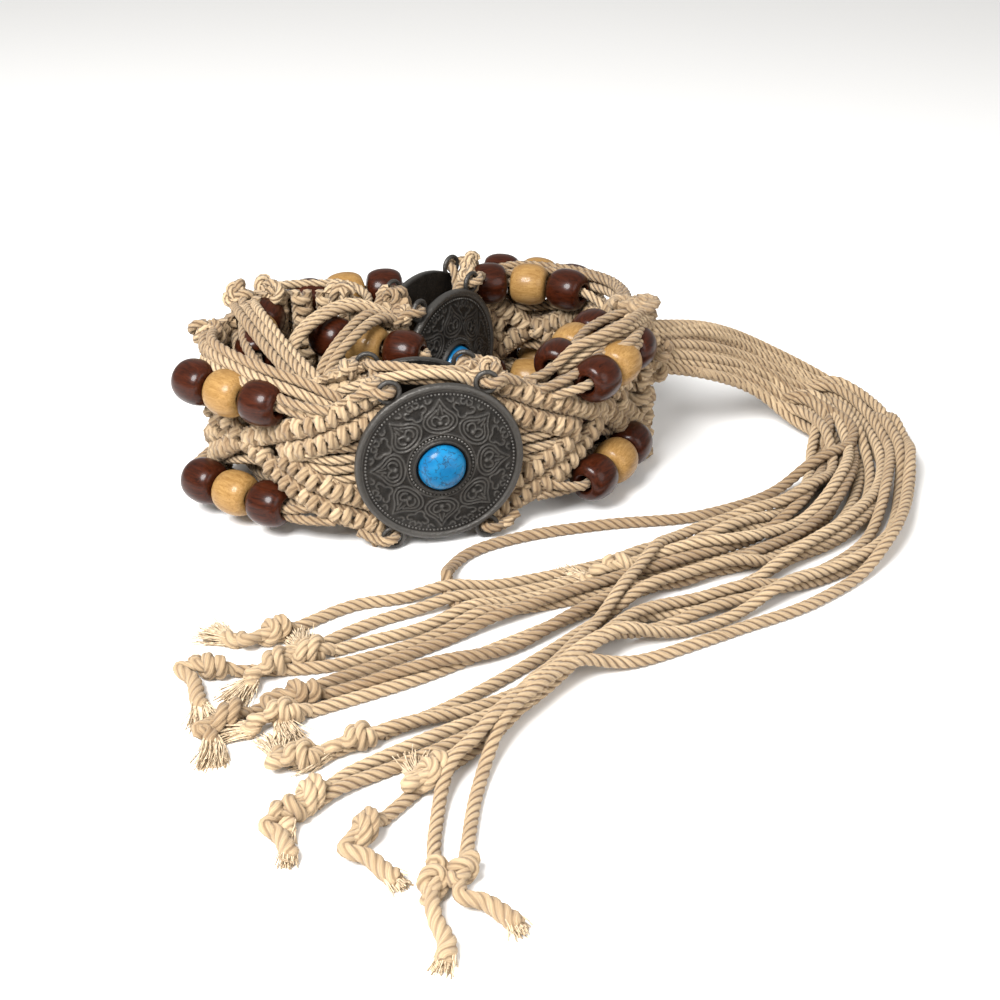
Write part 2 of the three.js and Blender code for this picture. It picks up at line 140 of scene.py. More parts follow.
def bumpNode(tree, height, strength, distance, **under):
    inputs = {"Height": height, "Strength": strength, "Distance": distance, **under}
    return addNode(tree, "ShaderNodeBump", inputs).outputs[0]


def rampNode(tree, factor, *stops):
    node = addNode(tree, "ShaderNodeValToRGB", {"Fac": factor})
    for element, (place, colour) in zip(node.color_ramp.elements, stops):
        element.position = place
        element.color = (*colour, 1)
    return node.outputs["Color"]


def mixNode(tree, factor, a, b):
    node = addNode(tree, "ShaderNodeMix", data_type="RGBA")
    for index, value in ((0, factor), (6, a), (7, b)):
        if isinstance(value, bpy.types.NodeSocket):
            tree.links.new(value, node.inputs[index])
        else:
            node.inputs[index].default_value = value if index == 0 else (*value, 1)
    return node.outputs[2]


# Geometry node helpers
def newTree(name, inputs):
    tree = bpy.data.node_groups.new(name, "GeometryNodeTree")
    for way in ("OUTPUT", "INPUT"):
        tree.interface.new_socket(name="Geometry", in_out=way, socket_type="NodeSocketGeometry")
    for key, kind in inputs.items():
        tree.interface.new_socket(name=key, in_out="INPUT", socket_type="NodeSocket" + kind)
    return tree, addNode(tree, "NodeGroupInput").outputs


def geometryNode(tree, kind, inputs=None, **settings):
    return addNode(tree, "GeometryNode" + kind, inputs, **settings).outputs[0]


def randomNode(tree, inputs):
    return addNode(tree, "FunctionNodeRandomValue", inputs, data_type="FLOAT").outputs[1]


def store(tree, geometry, name, value, kind="FLOAT"):
    inputs = {"Geometry": geometry, "Name": name, "Value": value}
    return geometryNode(tree, "StoreNamedAttribute", inputs, data_type=kind, domain="POINT")


def endTree(tree, geometry, material):
    smooth = geometryNode(tree, "SetShadeSmooth", {"Geometry": geometry})
    real = geometryNode(tree, "RealizeInstances", {"Geometry": smooth})
    addNode(tree, "NodeGroupOutput", {0: geometryNode(tree, "SetMaterial", {"Geometry": real, "Material": material})})
    return tree


def treeMesh(name, source, tree, values):
    # what a node tree makes of an object, as a plain mesh
    identifiers = {item.name: item.identifier for item in tree.interface.items_tree if item.in_out == "INPUT"}
    modifier = source.modifiers.new(tree.name, "NODES")
    modifier.node_group = tree
    for key, value in values.items():
        modifier[identifiers[key]] = value
    source.update_tag()
    depsgraph = bpy.context.evaluated_depsgraph_get()
    mesh = bpy.data.meshes.new_from_object(source.evaluated_get(depsgraph), depsgraph=depsgraph)
    bpy.data.objects.remove(source)
    mesh.name = name
    return mesh


# Mesh helpers
def newMesh(name, points, faces, material, **attributes):
    # points in millimetres; an attribute has a number or a vector for each
    mesh = bpy.data.meshes.new(name)
    mesh.from_pydata((points * mm).tolist(), [], faces)
    mesh.shade_smooth()
    for key, values in attributes.items():
        kind, field = ("FLOAT", "value") if values.ndim == 1 else ("FLOAT_VECTOR", "vector")
        mesh.attributes.new(key, kind, "POINT").data.foreach_set(field, values.ravel())
    mesh.materials.append(material)
    return mesh


def movePoints(mesh, move):
    spots = np.empty(len(mesh.vertices) * 3)
    mesh.vertices.foreach_get("co", spots)
    mesh.vertices.foreach_set("co", move(spots.reshape(-1, 3)).ravel())
    mesh.update()


def gridFaces(rows, count, closed=False, turned=False):
    # the quads between rows of points that each run round once
    faces = []
    for row in range(rows if closed else rows - 1):
        a, b = row * count, (row + 1) % rows * count
        for column in range(count):
            following = (column + 1) % count
            quad = [a + column, a + following, b + following, b + column]
            faces.append([quad[0], quad[3], quad[2], quad[1]] if turned else quad)
    return faces


def fanFaces(centre, first, count, turned=False):
    # triangles from a centre point to a row of points
    pairs = [(first + column, first + (column + 1) % count) for column in range(count)]
    return [[centre, b, a] if turned else [centre, a, b] for a, b in pairs]


def around(count):
    return np.arange(count) / count * 2 * math.pi


def select(pieces):
    bpy.ops.object.select_all(action="DESELECT")
    for piece in pieces:
        piece.select_set(True)
    bpy.context.view_layer.objects.active = pieces[0]


def joinPieces(name, parts):
    select(parts)
    bpy.ops.object.join()
    parts[0].name = name
    parts[0].data.name = name
    return parts[0]


def fixNormals(piece):
    select([piece])
    bpy.ops.object.mode_set(mode="EDIT")
    bpy.ops.mesh.select_all(action="SELECT")
    bpy.ops.mesh.normals_make_consistent(inside=False)
    bpy.ops.object.mode_set(mode="OBJECT")


def finishPiece(piece, node):
    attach(piece, "root")
    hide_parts(node)


# Cord: four plies twisted together, made along any path by one node tree
cord = {
    "width": 2.9,
    "pitch": 9.6,
    "plies": 4,
    "step": 0.65,
    "sides": 16,
    "grooveDepth": 0.18,
    "grooveSharpness": 4.5,
    "colourLow": (0.24, 0.155, 0.083),
    "colourHigh": (0.56, 0.415, 0.255),
    # the colour painted into the grooves between the plies as shade
    "paintedGrooveShade": (0.10, 0.055, 0.026),
}
frayed = {"colourLow": (0.42, 0.30, 0.18), "colourHigh": (0.72, 0.58, 0.40)}


def cottonMaterial(name, grooveShare):
    sheen = {"Sheen Weight": 0.12, "Sheen Roughness": 0.5}
    material, tree, shader = newMaterial(name, {"Roughness": 0.9, "Specular IOR Level": 0.2, **sheen})
    side = addNode(tree, "ShaderNodeSeparateXYZ", {0: attribute(tree, "turn", "Vector")}).outputs
    tone = attribute(tree, "tone")
    further = weighted(tree, (attribute(tree, "along"), 1.0), (tone, 37.0))  # no two cords have the same fibres
    place = addNode(tree, "ShaderNodeCombineXYZ", {0: side[0], 1: side[1], 2: further}).outputs[0]
    lengthwise = stretched(tree, place, (6.0, 6.0, 170.0))
    fibres = noise(tree, lengthwise, 1.3, 4.0, 0.65)
    fine = noise(tree, lengthwise, 3.4, 3.0, 0.6)
    patch = noise(tree, stretched(tree, place, (0.3, 0.3, 60.0)), 1.0)
    # a mask, nothing along the middle of each ply and one in the grooves between them: it paints shade into the
    # grooves and deepens them in the bump
    square = times(tree, side[0], side[0])
    hollow = times(tree, times(tree, square, mathNode(tree, "SUBTRACT", 1.0, square)), 4.0)
    groove = mathNode(tree, "POWER", mathNode(tree, "MAXIMUM", hollow, 0.0), cord["grooveSharpness"])
    shade = weighted(tree, (fibres, 0.62), (patch, 0.18), (tone, 0.24))
    colour = rampNode(tree, shade, (0.34, cord["colourLow"]), (0.66, cord["colourHigh"]))
    # painted shade: the colour darkens towards the groove shade colour where the mask is high
    colour = mixNode(tree, times(tree, groove, grooveShare), colour, cord["paintedGrooveShade"])
    height = weighted(tree, (fibres, 0.8), (fine, 0.6), (groove, grooveShare * -1.4))
    connect(tree, shader, {"Base Color": colour, "Normal": bumpNode(tree, height, 0.85, 0.00028)})
    return material


def frayedMaterial():
    looks = {"Roughness": 0.95, "Sheen Weight": 0.15, "Specular IOR Level": 0.15}
    material, tree, shader = newMaterial("frayed cotton", looks)
    tuft = times(tree, attribute(tree, "tone"), 90.0)
    place = addNode(tree, "ShaderNodeCombineXYZ", {0: tuft, 1: 0.0, 2: attribute(tree, "along")}).outputs[0]
    cloud = noise(tree, stretched(tree, place, (1.0, 1.0, 500.0)), 1.0)
    colour = rampNode(tree, cloud, (0.3, frayed["colourLow"]), (0.7, frayed["colourHigh"]))
    connect(tree, shader, {"Base Color": colour})
    return material


def ropeTree():
    inputs = {"Width": "Float", "Ply Pitch": "Float", "Step": "Float", "Sides": "Int", "Plies": "Int"}
    inputs.update({"Groove Depth": "Float", "Seed": "Int", "Material": "Material"})
    tree, given = newTree("twisted rope", inputs)
    even = geometryNode(tree, "ResampleCurve", {"Curve": given["Geometry"], "Length": given["Step"]}, mode="LENGTH")
    length = addNode(tree, "GeometryNodeSplineParameter").outputs["Length"]
    number = addNode(tree, "GeometryNodeCurveOfPoint").outputs["Curve Index"]
    tone = randomNode(tree, {"ID": number, "Seed": given["Seed"]})
    stored = store(tree, store(tree, even, "along", length), "tone", tone)
    turns = mathNode(tree, "ADD", mathNode(tree, "DIVIDE", length, given["Ply Pitch"]), tone)
    path = geometryNode(tree, "SetCurveTilt", {"Curve": stored, "Tilt": times(tree, turns, 2 * math.pi)})
    circle = geometryNode(tree, "CurvePrimitiveCircle", {"Resolution": given["Sides"], "Radius": 1.0})
    place = geometryNode(tree, "InputPosition")
    ring = store(tree, circle, "turn", place, "FLOAT_VECTOR")
    # each ply bulges, and the radius falls to a groove between two plies
    share = mathNode(tree, "DIVIDE", geometryNode(tree, "InputIndex"), given["Sides"])
    angle = times(tree, share, times(tree, given["Plies"], math.pi))
    bulge = mathNode(tree, "ABSOLUTE", mathNode(tree, "COSINE", angle))
    dip = times(tree, given["Groove Depth"], mathNode(tree, "SUBTRACT", 1.0, bulge))
    radius = times(tree, mathNode(tree, "SUBTRACT", 1.0, dip), times(tree, given["Width"], 0.5))
    profile = geometryNode(tree, "SetPosition", {"Geometry": ring, "Position": scaledVector(tree, place, radius)})
    taper = geometryNode(tree, "InputRadius")
    tube = {"Curve": path, "Profile Curve": profile, "Scale": taper, "Fill Caps": True}
    return endTree(tree, geometryNode(tree, "CurveToMesh", tube), given["Material"])


# the tight cotton is the cord material with less shade painted into its grooves and a shallower bump
cotton = cottonMaterial("cotton cord", 0.9)
tightCottonLessShade = cottonMaterial("tight cotton", 0.55)
frayedCotton = frayedMaterial()
rope = ropeTree()


def smoothLine(points, spacing=1.0):
    # a curve through the points, sampled evenly
    points = np.asarray(points, float)
    if len(points) < 3:
        points = np.array([points[0], (points[0] + points[-1]) / 2, points[-1]])
    padded = np.vstack([2 * points[0] - points[1], points, 2 * points[-1] - points[-2]])
    t = np.linspace(0, 1, 24, endpoint=False)[:, None]
    dense = []
    for a, b, c, d in zip(padded, padded[1:], padded[2:], padded[3:]):
        reach = np.linalg.norm(c - b)
        startPull = (c - a) / max(np.linalg.norm(c - a), 1e-6) * reach
        endPull = (d - b) / max(np.linalg.norm(d - b), 1e-6) * reach
        ends = (2 * t**3 - 3 * t**2 + 1) * b + (3 * t**2 - 2 * t**3) * c
        dense.append(ends + (t**3 - 2 * t**2 + t) * startPull + (t**3 - t**2) * endPull)
    return evenly(np.vstack([*dense, points[-1:]]), spacing)


def distances(line):
    return np.concatenate([[0], np.cumsum(np.linalg.norm(np.diff(line, axis=0), axis=1))])


def evenly(line, spacing):
    lengths = distances(line)
    count = max(int(round(lengths[-1] / spacing)), 2) + 1
    marks = np.linspace(0, lengths[-1], count)
    return np.stack([np.interp(marks, lengths, line[:, axis]) for axis in range(3)], axis=1)


def makeRopes(name, lines, tapers=None, seed=1, material=cotton, **changes):
    # one cord along each line, in millimetres; changes are to the cord's own values
    values = {**cord, **changes}
    curve = bpy.data.curves.new(name, "CURVE")
    curve.dimensions = "3D"
    for number, line in enumerate(lines):
        spline = curve.splines.new("POLY")
        spline.points.add(len(line) - 1)
        spline.points.foreach_set("co", np.column_stack([line * mm, np.ones(len(line))]).ravel())
        spline.points.foreach_set("radius", np.ones(len(line)) if tapers is None else tapers[number])
    inputs = {
        "Width": values["width"] * mm,
        "Ply Pitch": values["pitch"] * mm,
        "Step": values["step"] * mm,
        "Sides": values["sides"],
        "Plies": values["plies"],
        "Groove Depth": values["grooveDepth"],
        "Seed": seed,
        "Material": material,
    }
    mesh = treeMesh(name, addObject(name + "_path", curve), rope, inputs)
    lowest = np.array([-np.inf, -np.inf, 0])  # what lies on the floor is pressed flat against it
    movePoints(mesh, lambda spots: np.maximum(spots, lowest))
    return addObject(name, mesh)


# The fringe: seventeen strands in one sweeping bundle, then fanned out on the floor
strandWidth = 3.0
bundle = [
    {"inner": (57.5, 5, 23), "outer": (57.5, 1, 38)},
    {"inner": (75, 12, 17), "outer": (75, 18, 31)},
    {"inner": (91, 18, 8), "outer": (93, 33, 18)},
    {"inner": (100, 10, 0), "outer": (119, 35, 2)},
    {"inner": (102, -4, 0), "outer": (129, 6, 0)},
    {"inner": (99, -18, 0), "outer": (126, -21, 0)},
    {"inner": (90, -30, 0), "outer": (114, -52, 0)},
    {"inner": (69, -43, 0), "outer": (93, -74, 0)},
    {"inner": (56, -49, 0), "outer": (73, -88, 0)},
    {"inner": (42, -57, 0), "outer": (52, -98, 0)},
]
# from the lowest strand in the heap to the highest: its lane in the bundle at the side, the turn and the front, then
# its way on the floor to the knot and the tip of its tail; leaves is the section where it parts from the bundle, and
# tucked the length at its end that lies under the others
strands = {
    "a": {"lanes": (0.35, 0.1, 0.02), "way": [(18, -67), (-5, -73), (-16, -76), (-29, -86)], "tip": (-44, -90)},
    "b": {"lanes": (0.1, 0.25, 0.12), "way": [(18, -72), (-5, -80), (-17, -88), (-27, -98)], "tip": (-33, -105)},
    "c": {"lanes": (0.5, 0.04, 0.2), "way": [(18, -76), (-2, -87), (-11, -91), (-19, -95)], "tip": (-26, -93)},
    "d": {"lanes": (0.2, 0.35, 0.3), "way": [(16, -81), (-4, -94), (-20, -101), (-40, -103)], "tip": (-45, -117)},
    "e": {"lanes": (0.6, 0.16, 0.28), "way": [(15, -85), (-6, -99), (-22, -109), (-35, -119)], "tip": (-41, -130)},
    "f": {"lanes": (0.3, 0.5, 0.4), "way": [(20, -92), (0, -106), (-22, -118)], "tip": (-31, -119)},
    "g": {"lanes": (0.7, 0.42, 0.42), "way": [(19, -96), (0, -105), (-20, -112)], "tip": (-27, -124)},
    "h": {"lanes": (0.45, 0.6, 0.5), "way": [(24, -101), (8, -116), (-6, -126)], "tip": (-15, -128)},
    "i": {"lanes": (0.8, 0.7, 0.6), "way": [(26, -108), (4, -122), (-17, -133)], "tip": (-27, -132)},
    "j": {"lanes": (0.9, 0.66, 0.66), "way": [(27, -111), (4, -127), (-12, -139), (-16, -144)], "tip": (-23, -158)},
    "k": {"lanes": (0.55, 0.8, 0.7), "way": [(28, -113), (6, -131), (-10, -142), (-18, -149)], "tip": (-21, -166)},
    "l": {"lanes": (0.65, 0.9, 0.8), "way": [(34, -107), (18, -126), (4, -142), (-4.5, -154)], "tip": (0, -172)},
    "m": {"lanes": (0.85, 0.95, 0.86), "way": [(40, -99), (24, -118), (14, -131), (8, -138)], "tip": (2, -139)},
    "n": {
        "lanes": (1, 1, 1),
        "way": [(36, -106), (25, -119), (18, -130), (14, -145), (12, -165)],
        "tip": (23, -184),
    },
    "o": {"lanes": (0.5, 0.35, 0.3), "leaves": 7, "way": [(62, -57), (53, -61)], "tip": (38, -65)},
    "p": {
        "lanes": (0.15, 0.2, 0),
        "leaves": 7,
        "way": [(61, -52), (52, -66), (41, -86), (32, -103), (23, -119), (14, -133), (8, -142), (6, -157), (6, -168)],
        "tip": (9, -193),
    },
    "q": {
        "lanes": (0.25, 0.45, 0.2),
        "leaves": 4,
        "way": [(98, -16), (70, -33), (44, -38), (24, -44), (11, -52), (6, -63), (7, -73), (12, -80), (15, -83)],
        "tucked": 18,
    },
}
floorStep = 1.5  # between the points of a strand's path
heap = {"closeness": 0.94, "aloft": 4, "climb": 4.5, "slack": 0.985, "spread": 46, "smooth": 8}
tails = {
    "knotWidth": 2.9,
    "wrapRadius": 1.85,
    "wrapTurns": 1.7,
    "wrapLength": 5.4,
    "loosened": 1.4,
    "locks": 16,
    "lockWidth": 0.95,
    "fibres": 170,
    "fibreWidth": 0.3,
    "fibreLength": (4.5, 8.5),
    "cutFibres": 70,
    "cutLength": (2.2, 3.4),
}
brushes = "abcdefghimo"  # the strands whose ends are frayed to a brush; the others end blunt


def laneAt(lanes, section):
    side, turn, front = lanes
    return float(np.interp(section, [2, 4, 5, 8], [side, turn, turn, front]))


def strandPlan(name, strand):
    rng = np.random.default_rng(ord(name))
    last = strand.get("leaves", len(bundle) - 1)
    wave, phase = rng.uniform(0.02, 0.05), rng.uniform(0, 6)
    points = []
    for number, section in enumerate(bundle[: last + 1]):
        lane = laneAt(strand["lanes"], number)
        if 0 < number < last:
            lane = float(np.clip(lane + wave * math.sin(number * 1.7 + phase), 0, 1))
        spot = np.array(section["inner"]) * (1 - lane) + np.array(section["outer"]) * lane
        if number < 3:
            spot = spot + np.array([0, rng.uniform(-1, 1) * (0.4, 1.6, 1.2)[number], 0])
        points.append(spot)
    points += [np.array([x, y, 0.0]) for x, y in strand["way"]]
    return smoothLine(points, floorStep) - ringCentre


def settle(line, laid):
    # the cord rests on the floor or on those laid before it; where it is aloft it keeps its height
    reach = strandWidth * heap["closeness"]
    tree = kdtree.KDTree(len(laid))
    for number, point in enumerate(laid):
        tree.insert((point[0], point[1], 0), number)
    tree.balance()
    aloft = line[:, 2] > heap["aloft"]
    own = np.maximum(line[:, 2], 0) + strandWidth / 2
    z = own.copy()
    for number in np.flatnonzero(~aloft):
        for _, other, distance in tree.find_range((*line[number, :2], 0), reach):
            if laid[other][2] < own[number] + heap["climb"]:
                z[number] = max(z[number], laid[other][2] + math.sqrt(reach**2 - distance**2))
    for _ in range(heap["spread"]):
        mean = z.copy()
        mean[1:-1] = (z[:-2] + z[2:]) / 2
        z = np.where(aloft, z, np.maximum(z, mean * heap["slack"]))
    for _ in range(heap["smooth"]):
        z[1:-1] = (z[:-2] + 2 * z[1:-1] + z[2:]) / 4
    return np.maximum(z, strandWidth / 2)


def layStrands():
    lines = [strandPlan(name, strand) for name, strand in strands.items()]
    tucked = [int(strand.get("tucked", 0) / floorStep) for strand in strands.values()]
    laid = []
    for line, count in zip(lines, tucked):
        if count:  # this end lies under the others, and its strand is the last
            line[-count:, 2] = strandWidth / 2
            laid.extend(line[-count:])
    for line, count in zip(lines, tucked):
        free = len(line) - count
        line[:free, 2] = settle(line, laid)[:free]
        laid.extend(line)
    return lines


def wrappedKnot(rng):
    # the cord runs through its own two wraps: along X, with its middle at the origin
    length, radius = tails["wrapLength"], tails["wrapRadius"] * rng.uniform(0.94, 1.08)
    turns = tails["wrapTurns"] + rng.uniform(-0.15, 0.3)
    start = rng.uniform(0, 2 * math.pi)
    t = np.linspace(0, 1, 22)
    angle = start + t * turns * 2 * math.pi
    along = length * (0.42 - 0.84 * t) + rng.uniform(0.9, 1.7) * np.cos(angle - start)
    wraps = np.column_stack([along, radius * np.cos(angle), radius * np.sin(angle)])
    inward = np.array([[-length * 0.95, 0, 0], [-length * 0.45, 0.3, 0], [length * 0.2, 0.5, 0.2]])
    over = wraps[:1] * [1, 0.55, 0.55] + [0.8, 0, 0]
    under = wraps[-1:] * [1, 0.5, 0.5] + [0.2, 0, 0]
    out = np.array([[0, -0.6, -0.3], [length * 0.5, -0.5, -0.2], [length * 0.95, 0, 0]])
    return smoothLine(np.vstack([inward, over, wraps, under, out]), 0.5)


def tiedEnd(tip, line, rng):
    # the path of the knot at a strand's end and of its loosened tail, and how thick it is along that path
    end = line[-1]
    forward = unit((line[-1] - line[-4]) * [1, 1, 0])
    side = np.cross(up, forward)
    lift = tails["wrapRadius"] + tails["knotWidth"] / 2
    knot = wrappedKnot(rng)
    centre = end * [1, 1, 0] + forward * tails["wrapLength"] * 0.95 + up * max(end[2], lift)
    placed = centre + knot[:, 0:1] * forward + knot[:, 1:2] * side + knot[:, 2:3] * up
    blend = np.clip(np.arange(len(placed)) / 7, 0, 1)[:, None]
    placed = end * (1 - blend) + placed * blend
    leave = placed[-1]
    toTip = np.array([*tip, 0.0]) - ringCentre - leave * [1, 1, 0]
    size = float(np.clip(np.linalg.norm(toTip), 5, 26))
    heading = unit(toTip) if np.linalg.norm(toTip) > 4 else forward
    rest = tails["knotWidth"] * 0.62
    tail = [leave, leave + forward * 2.0 + heading * 0.6]
    for share in (0.35, 0.7, 1.0):
        bow = side * math.sin(share * 2.2) * rng.uniform(-1.2, 1.2)
        spot = leave * [1, 1, 0] + heading * size * share + bow
        tail.append(spot + up * (leave[2] + (rest - leave[2]) * min(share * 1.3, 1)))
    tail = smoothLine(tail, 0.5)
    thick = [1, 1.12, tails["loosened"], tails["loosened"] * 0.9]
    loosening = np.interp(np.linspace(0, 1, len(tail)), [0, 0.25, 0.9, 1], thick)
    taper = np.concatenate([np.ones(len(placed) - 1), loosening])
    taper[-3:] = taper[-4] * np.array([0.95, 0.85, 0.6])
    return np.vstack([placed[:-1], tail]), taper


def frayedEnd(name, whole, rng):
    # a brush of locks and fibres, or the cut fibres of a blunt end
    blunt = name not in brushes
    tip, heading = whole[-1], unit(whole[-1] - whole[-5])
    sideways = unit(np.cross(heading, up))
    fibres, locks = [], []
    sweep = rng.normal(0, 0.22)
    lockCount = 0 if blunt else tails["locks"]
    for number in range(lockCount + tails["cutFibres" if blunt else "fibres"]):
        lock = number < lockCount
        spot = np.clip(rng.normal(0, 0.8, 2), -1.5, 1.5) * (0.8 if lock else 1.05)
        start = tip - heading * rng.uniform(1.2, 2.8) + sideways * spot[0] + up * spot[1] * 0.7
        loose = 0.03 if lock else 0.09
        spread = heading + sideways * (spot[0] * 0.2 + rng.normal(0, loose))
        spread = spread + up * (spot[1] * 0.06 + rng.normal(0, loose * 0.6))
        length = rng.uniform(*tails["cutLength" if blunt else "fibreLength"]) * (0.9 if lock else 1)
        bend = sideways * sweep + rng.normal(0, 0.1, 3)
        points = np.array([start + unit(spread + bend * t) * length * t for t in (0.0, 0.33, 0.66, 1.0)])
        points[:, 2] = np.maximum(points[:, 2] - np.array([0, 0.1, 0.4, 0.8]), 0.2)
        (locks if lock else fibres).append(smoothLine(points, length / (7 if lock else 4)))
    return locks, fibres


def knotAndTail(name, tip, line, rng):
    seed = ord(name)
    whole, taper = tiedEnd(tip, line, rng)
    tied = {"width": tails["knotWidth"], "step": 0.5, "grooveDepth": 0.2}
    parts = [makeRopes("knot_" + name, [whole], [taper], seed, tightCottonLessShade, **tied)]
    locks, fibres = frayedEnd(name, whole, rng)
    if locks:
        thin = [np.interp(np.linspace(0, 1, len(lock)), [0, 0.6, 1], [1, 1, 0.25]) for lock in locks]
        loose = {"width": tails["lockWidth"], "pitch": 14, "step": 1.2, "sides": 8, "grooveDepth": 0.25}
        parts.append(makeRopes("locks_" + name, locks, thin, 9 + seed, frayedCotton, **loose))
    hair = {"width": tails["fibreWidth"], "step": 1.6, "sides": 4, "grooveDepth": 0.0}
    parts.append(makeRopes("tuft_" + name, fibres, None, 5 + seed, frayedCotton, **hair))
    return joinPieces("knot_" + name, parts)


def makeFringe():
    rng = np.random.default_rng(11)
    for (name, strand), line in zip(strands.items(), layStrands()):
        piece = makeRopes("strand_" + name, [line], seed=ord(name), width=strandWidth, step=0.8)
        finishPiece(piece, "fringe")
        if "tip" in strand:
            knot = knotAndTail(name, strand["tip"], line, rng)
            finishPiece(knot, "fringe")


makeFringe()
print("fringe laid:", len(strands), "strands")


# The band's own frame, as its solids are laid out
band = {
    "cordWidth": 2.6,
    "discWidth": 42,
    "ringWire": 1.2,
    "ringBore": 4,
    "ringAngle": math.radians(31),
    "barThickness": 4.6,
    "waistHalf": 2.9,
    "beadWidth": 11.6,
    "beadLength": 10,
    "beadBore": 4.4,
    "beadOffset": 4,
    "beadRowRise": 13.9,
    "edgeRow": 3.3,
    "innerRow": 9.7,
}
standoff = band["barThickness"] / 2 + 0.7
ringReach = band["discWidth"] / 2 + band["ringBore"] / 2 + 0.1
ringOut = ringReach * math.sin(band["ringAngle"])
ringUp = ringReach * math.cos(band["ringAngle"])
middle = ringUp + band["ringBore"] / 2 + band["ringWire"] + 0.3
edgeRise = middle - band["cordWidth"] / 2 * math.cos(math.pi / 4) - 0.03
barRise = edgeRise - 0.4
straightHalf = band["discWidth"] / 2 + 1
outerRoute = [
    {"name": "end", "kind": "end", "x": 56.5, "y": 3, "heading": 250},
    {"name": "right", "kind": "beads", "x": 45, "y": -16, "heading": 241, "bend": -7},
    {"name": "front", "kind": "concho", "x": 2.8, "y": -41.1, "heading": 194},
    {"name": "left", "kind": "beads", "x": -45.8, "y": -32.2, "heading": 146, "bend": -5},
    {"name": "corner", "kind": "link", "x": -49.5, "y": 2, "heading": 66},
    {"name": "back_left", "kind": "beads", "x": -23.1, "y": 25.2, "heading": 20, "bend": -12},
    {"name": "back", "kind": "concho", "x": 0, "y": 22.8, "heading": 50},
    {"name": "back_right", "kind": "beads", "x": 28, "y": 42.4, "heading": -22, "bend": -12, "drop": 2.4},
    {"name": "fold", "kind": "end", "x": 50.5, "y": 3, "heading": -105},
]
innerRoute = [
    {"name": "end", "kind": "end", "x": 55, "y": 1, "heading": 215},
    {"name": "right", "kind": "beads", "x": 41.1, "y": -8.8, "heading": 243, "bend": 5},
    {"name": "front", "kind": "concho", "x": -2, "y": -34, "heading": 183},
    {"name": "left", "kind": "beads", "x": -49.3, "y": 0, "heading": 92, "bend": -9},
    {"name": "corner", "kind": "link", "x": -38, "y": 14, "heading": 0},
    {"name": "back_left", "kind": "beads", "x": -14, "y": -3.4, "heading": -26, "bend": 6},
    {"name": "back", "kind": "concho", "x": 1, "y": 14, "heading": 56},
    {"name": "back_right", "kind": "beads", "x": 27.5, "y": 36.8, "heading": -12, "bend": -20, "drop": -1},
    {"name": "fold", "kind": "end", "x": 50.5, "y": 3, "heading": -100},
]


def makeLayer(name, rows, side):
    # the layer's route: a bend between two stations, and a straight run at a concho or link
    half = {"concho": straightHalf, "link": straightHalf / 2, "beads": 0, "end": 0}
    points, stations, last = [], [], None
    length = 0.0
    for row in rows:
        angle = math.radians(row["heading"])
        along = np.array([math.cos(angle), math.sin(angle)])
        centre = np.array([row["x"], row["y"]], float)
        reach = half[row["kind"]]
        enter, leave = centre - along * reach, centre + along * reach
        if last is not None:
            pull = np.linalg.norm(enter - last[0]) * 0.4
            t = np.linspace(0, 1, 80)[:, None]
            away = (1 - t) ** 3 * last[0] + 3 * (1 - t) ** 2 * t * (last[0] + last[1] * pull)
            bow = away + 3 * (1 - t) * t**2 * (enter - along * pull) + t**3 * enter
            points.append(bow)
            length += distances(bow)[-1]
        stations.append({**row, "distance": length + reach, "along": np.array([*along, 0.0])})
        if reach > 0:
            points.append(np.linspace(enter, leave, 20))
            length += 2 * reach
        last = (leave, along)
    line = np.vstack(points)
    line = line[np.concatenate([[True], np.diff(distances(line)) > 1e-6])]
    marks = distances(line)
    return {"name": name, "side": side, "line": line, "marks": marks, "stations": stations, "length": marks[-1]}


layers = [makeLayer("outer", outerRoute, 1), makeLayer("inner", innerRoute, -1)]


def at(layer, distance, out, rise):
    # points at distances along a layer, moved out from it and up from its middle
    distance = np.clip(np.atleast_1d(np.asarray(distance, float)), 0, layer["length"])

    def onLine(shift):
        return np.stack([np.interp(distance + shift, layer["marks"], axis) for axis in layer["line"].T], axis=1)

    along = unit(onLine(0.5) - onLine(-0.5))
    normal = np.stack([-along[:, 1], along[:, 0]], axis=1) * layer["side"]
    plan = onLine(0) + normal * np.broadcast_to(out, distance.shape)[:, None]
    return np.column_stack([plan, middle + np.broadcast_to(rise, distance.shape)]) - ringCentre


def spotAt(layer, distance, out, rise):
    return at(layer, distance, out, rise)[0]


def barStart(station):
    return {"concho": ringOut + 1.5, "link": straightHalf * 0.6, "end": 2}[station["kind"]]


# Knotted bars: rows of half hitches over a core, in a chevron on each side of a panel's waist
hitches = {
    "spacing": 2.85,
    "width": 2.95,
    "rowHalf": 3.2,
    "depth": 2.9,
    "lean": 0.06,
    "coreWidth": 2.7,
    "coreApart": 3.2,
    "linkSpacing": 6.6,
}
tight = {"pitch": 11.0, "sides": 8, "grooveDepth": 0.15, "material": tightCottonLessShade}


